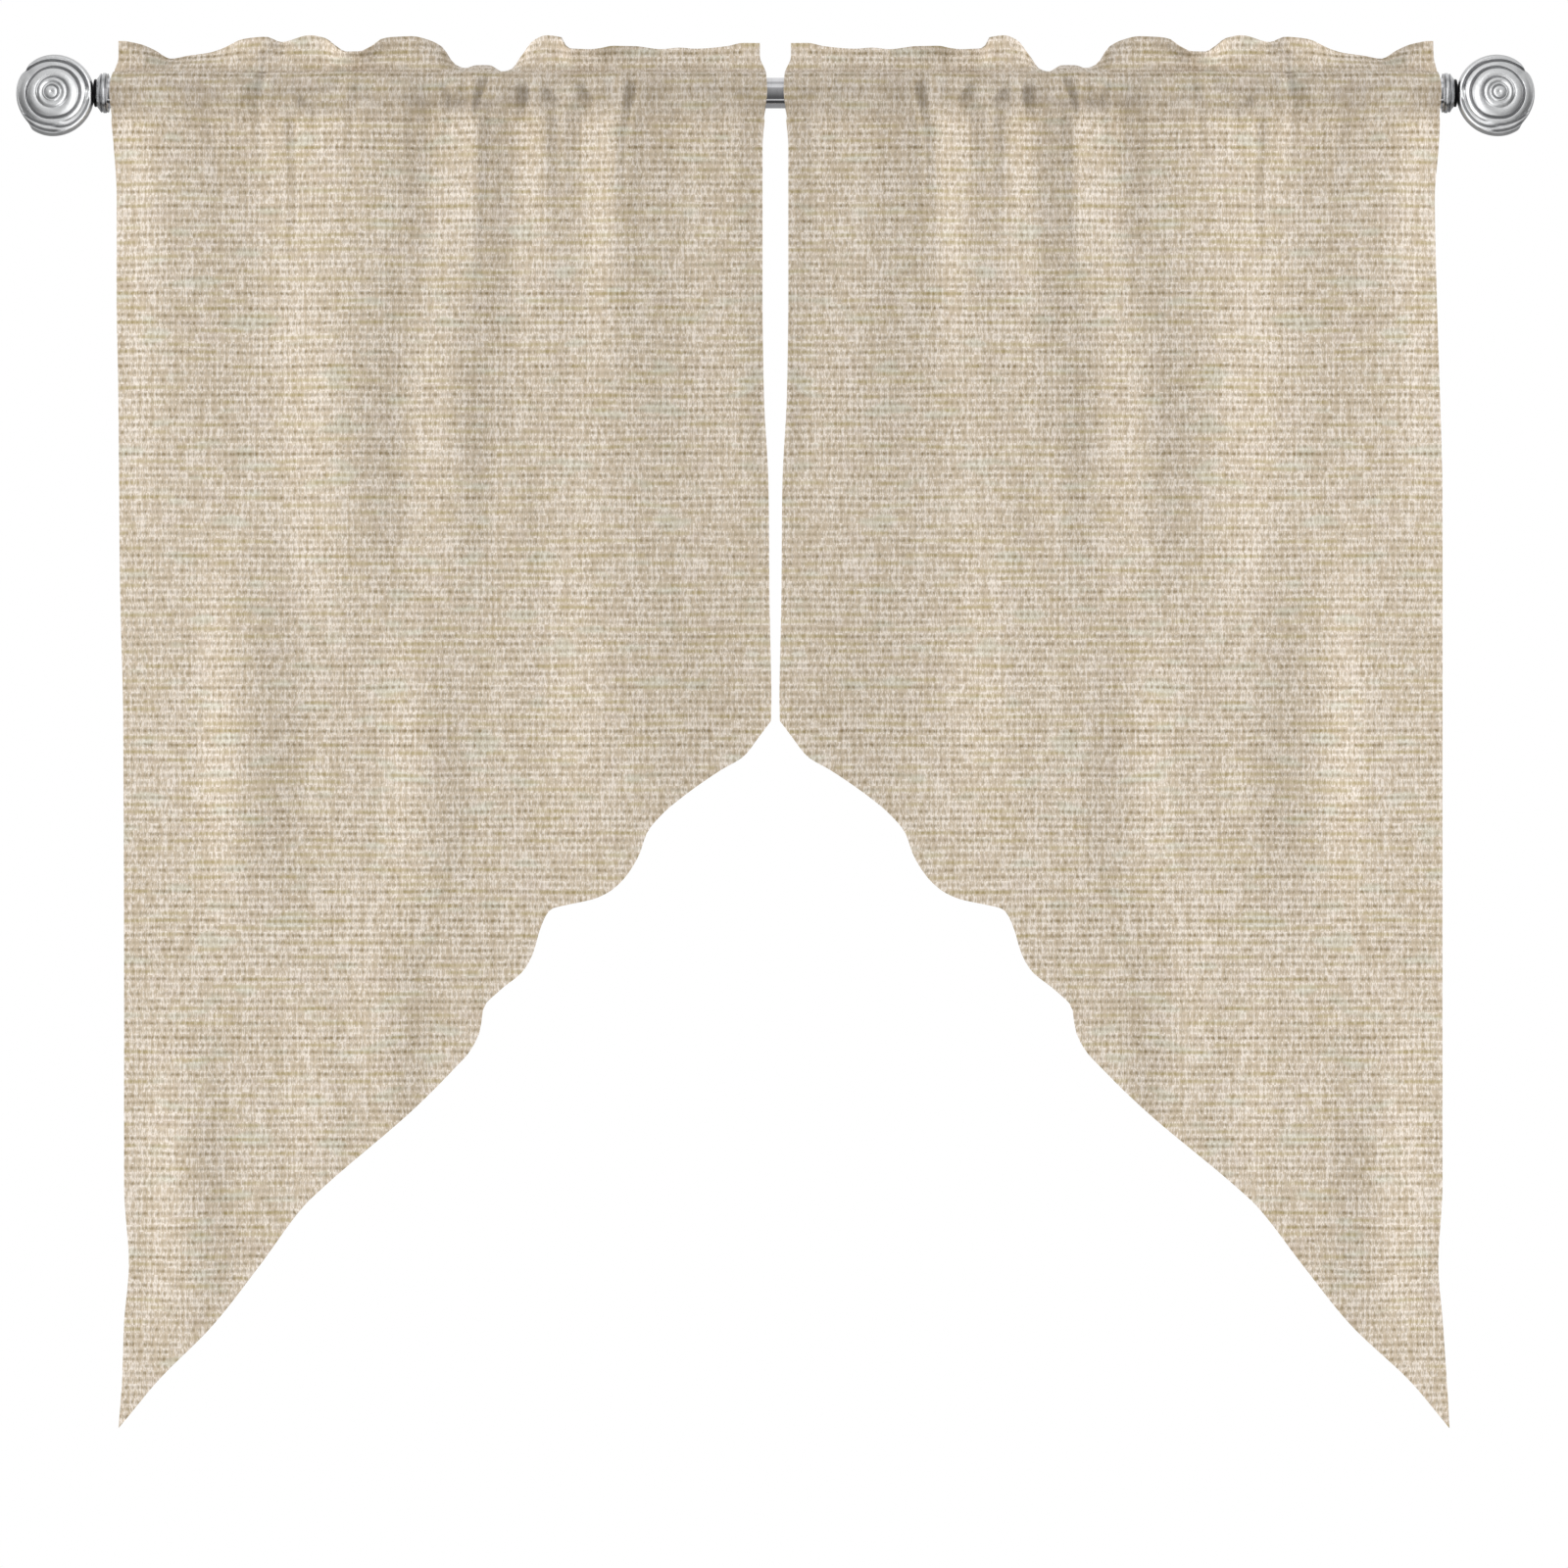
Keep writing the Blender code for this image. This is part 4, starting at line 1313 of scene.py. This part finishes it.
# %% Lay the floor
FLOOR_LEVEL = -1.25
FLOOR_SIZE = 7.0
FLOOR_BACK = 1.7
bm = bmesh.new()
bmesh.ops.create_grid(bm, x_segments=2, y_segments=2, size=FLOOR_SIZE / 2)
floor = new_object("floor", take_mesh(bm, "floor"))
floor.location = (0, FLOOR_BACK - FLOOR_SIZE / 2, FLOOR_LEVEL)
floor.visible_glossy = False
floor_paint, tree, shader = new_material("pale_floor", roughness=0.9)
mottle = grain(object_place(tree), 3.0, 3.0)
give(shader.inputs, Base_Color=blend(mottle, srgb(226, 225, 222), srgb(234, 233, 231)))
finish_with(floor_paint, [floor])

# %% [markdown]
# ## The room
# Metal shows what stands round it. The rod's stripes tell us what that was: bright above, dimmer in
# front, a thin bright line low in front, and dark straight below. We draw that room as a ramp over
# the angle round the rod. The camera itself sees plain white, which a Light Path node decides.

# %% Draw the room
ROOM = (  # angle in degrees from level in front, up over the top, and how bright the room is there
    (-180, 0.40), (-94, 0.37), (-88, 0.08), (-66, 0.08), (-61, 0.85), (-55, 0.85),
    (-51, 0.11), (-28, 0.16), (0, 0.32), (33, 0.46), (41, 0.95), (62, 0.88),
    (70, 0.58), (86, 0.58), (94, 0.92), (150, 1.0), (180, 0.40),
)
ROOM_STRENGTH = 0.85
world = bpy.data.worlds.new("studio")
bpy.context.scene.world = world
world.use_nodes = True
tree = world.node_tree
tree.nodes.clear()
direction = add_node(tree, "ShaderNodeTexCoord").outputs["Generated"]
_, y, z = parts_of(direction)
turn = calc("ARCTAN2", z, times(y, -1.0))
ramp = add_node(tree, "ShaderNodeValToRGB", {0: plus(calc("DIVIDE", turn, 2 * math.pi), 0.5)})
for n, (angle, grey) in enumerate(ROOM):
    spot = angle / 360 + 0.5
    stop = ramp.color_ramp.elements[n] if n < 2 else ramp.color_ramp.elements.new(spot)
    stop.position = spot
    stop.color = (grey, grey, grey, 1)
room = add_node(tree, "ShaderNodeBackground", {0: ramp.outputs[0], 1: ROOM_STRENGTH})
backdrop = add_node(tree, "ShaderNodeBackground", {0: (1, 1, 1, 1), 1: 1.0})
seen = add_node(tree, "ShaderNodeLightPath").outputs["Is Camera Ray"]
mixed = add_node(tree, "ShaderNodeMixShader", {0: seen, 1: room.outputs[0], 2: backdrop.outputs[0]})
add_node(tree, "ShaderNodeOutputWorld", {0: mixed.outputs[0]})
print("room stops:", len(ramp.color_ramp.elements))

# %% [markdown]
# ## The lights
# In the photograph each panel is lit from its own outer side, as if the two halves mirrored each
# other. One lamp could not do that, and two lamps would cancel out, so each side lamp is linked to
# its own panel. A front light fills cloth and floor, and one from behind shapes the cloth's back.
# The discs and collars have lights of their own: dim wide ones in front and below, and a card in
# the middle that whitens their inner side. The rod shows the room alone.

# %% Set the lights
Lamp = namedtuple("Lamp", "name place aim width height watts lit")
LEFT_CLOTH = (cloth_left, stitches_left)
RIGHT_CLOTH = (cloth_right, stitches_right)
SOFT = (*LEFT_CLOTH, *RIGHT_CLOTH, floor)
ENDS = (*finials, *collars)
LAMPS = (
    Lamp("side_left", (-3.0, -1.1, -0.5), (-0.2, 0, -0.6), 0.9, 0.9, 52, LEFT_CLOTH),
    Lamp("side_right", (3.0, -1.1, -0.5), (0.2, 0, -0.6), 0.9, 0.9, 52, RIGHT_CLOTH),
    Lamp("front", (0, -3.2, 0.3), (0, 0, -0.55), 2.4, 1.6, 22.5, SOFT),
    Lamp("behind", (-2.4, 2.0, 0.3), (0, 0, -0.5), 1.2, 1.2, 26, (*LEFT_CLOTH, *RIGHT_CLOTH)),
    Lamp("ends_front", (0, -3.0, 0.2), (0, 0, 0), 5.0, 4.0, 24, ENDS),
    Lamp("ends_low", (0, -1.6, -1.9), (0, 0, 0), 4.4, 1.6, 6, ENDS),
    Lamp("middle_card", (0, -0.6, -0.15), (0, 0.3, 0.05), 0.7, 1.0, 3.6, ENDS),
)
for lamp in LAMPS:
    data = bpy.data.lights.new(lamp.name, "AREA")
    data.shape = "RECTANGLE"
    data.size, data.size_y, data.energy = lamp.width, lamp.height, lamp.watts
    ob = new_object(lamp.name, data)
    ob.location = lamp.place
    toward = Vector(lamp.aim) - Vector(lamp.place)
    ob.rotation_euler = toward.to_track_quat("-Z", "Y").to_euler()
    ob.visible_camera = False
    lit = bpy.data.collections.new(lamp.name + "_lit")
    for piece in lamp.lit:
        lit.objects.link(piece)
    ob.light_linking.receiver_collection = lit
bpy.context.scene.view_settings.view_transform = "Standard"
print("lamps:", [lamp.name for lamp in LAMPS])
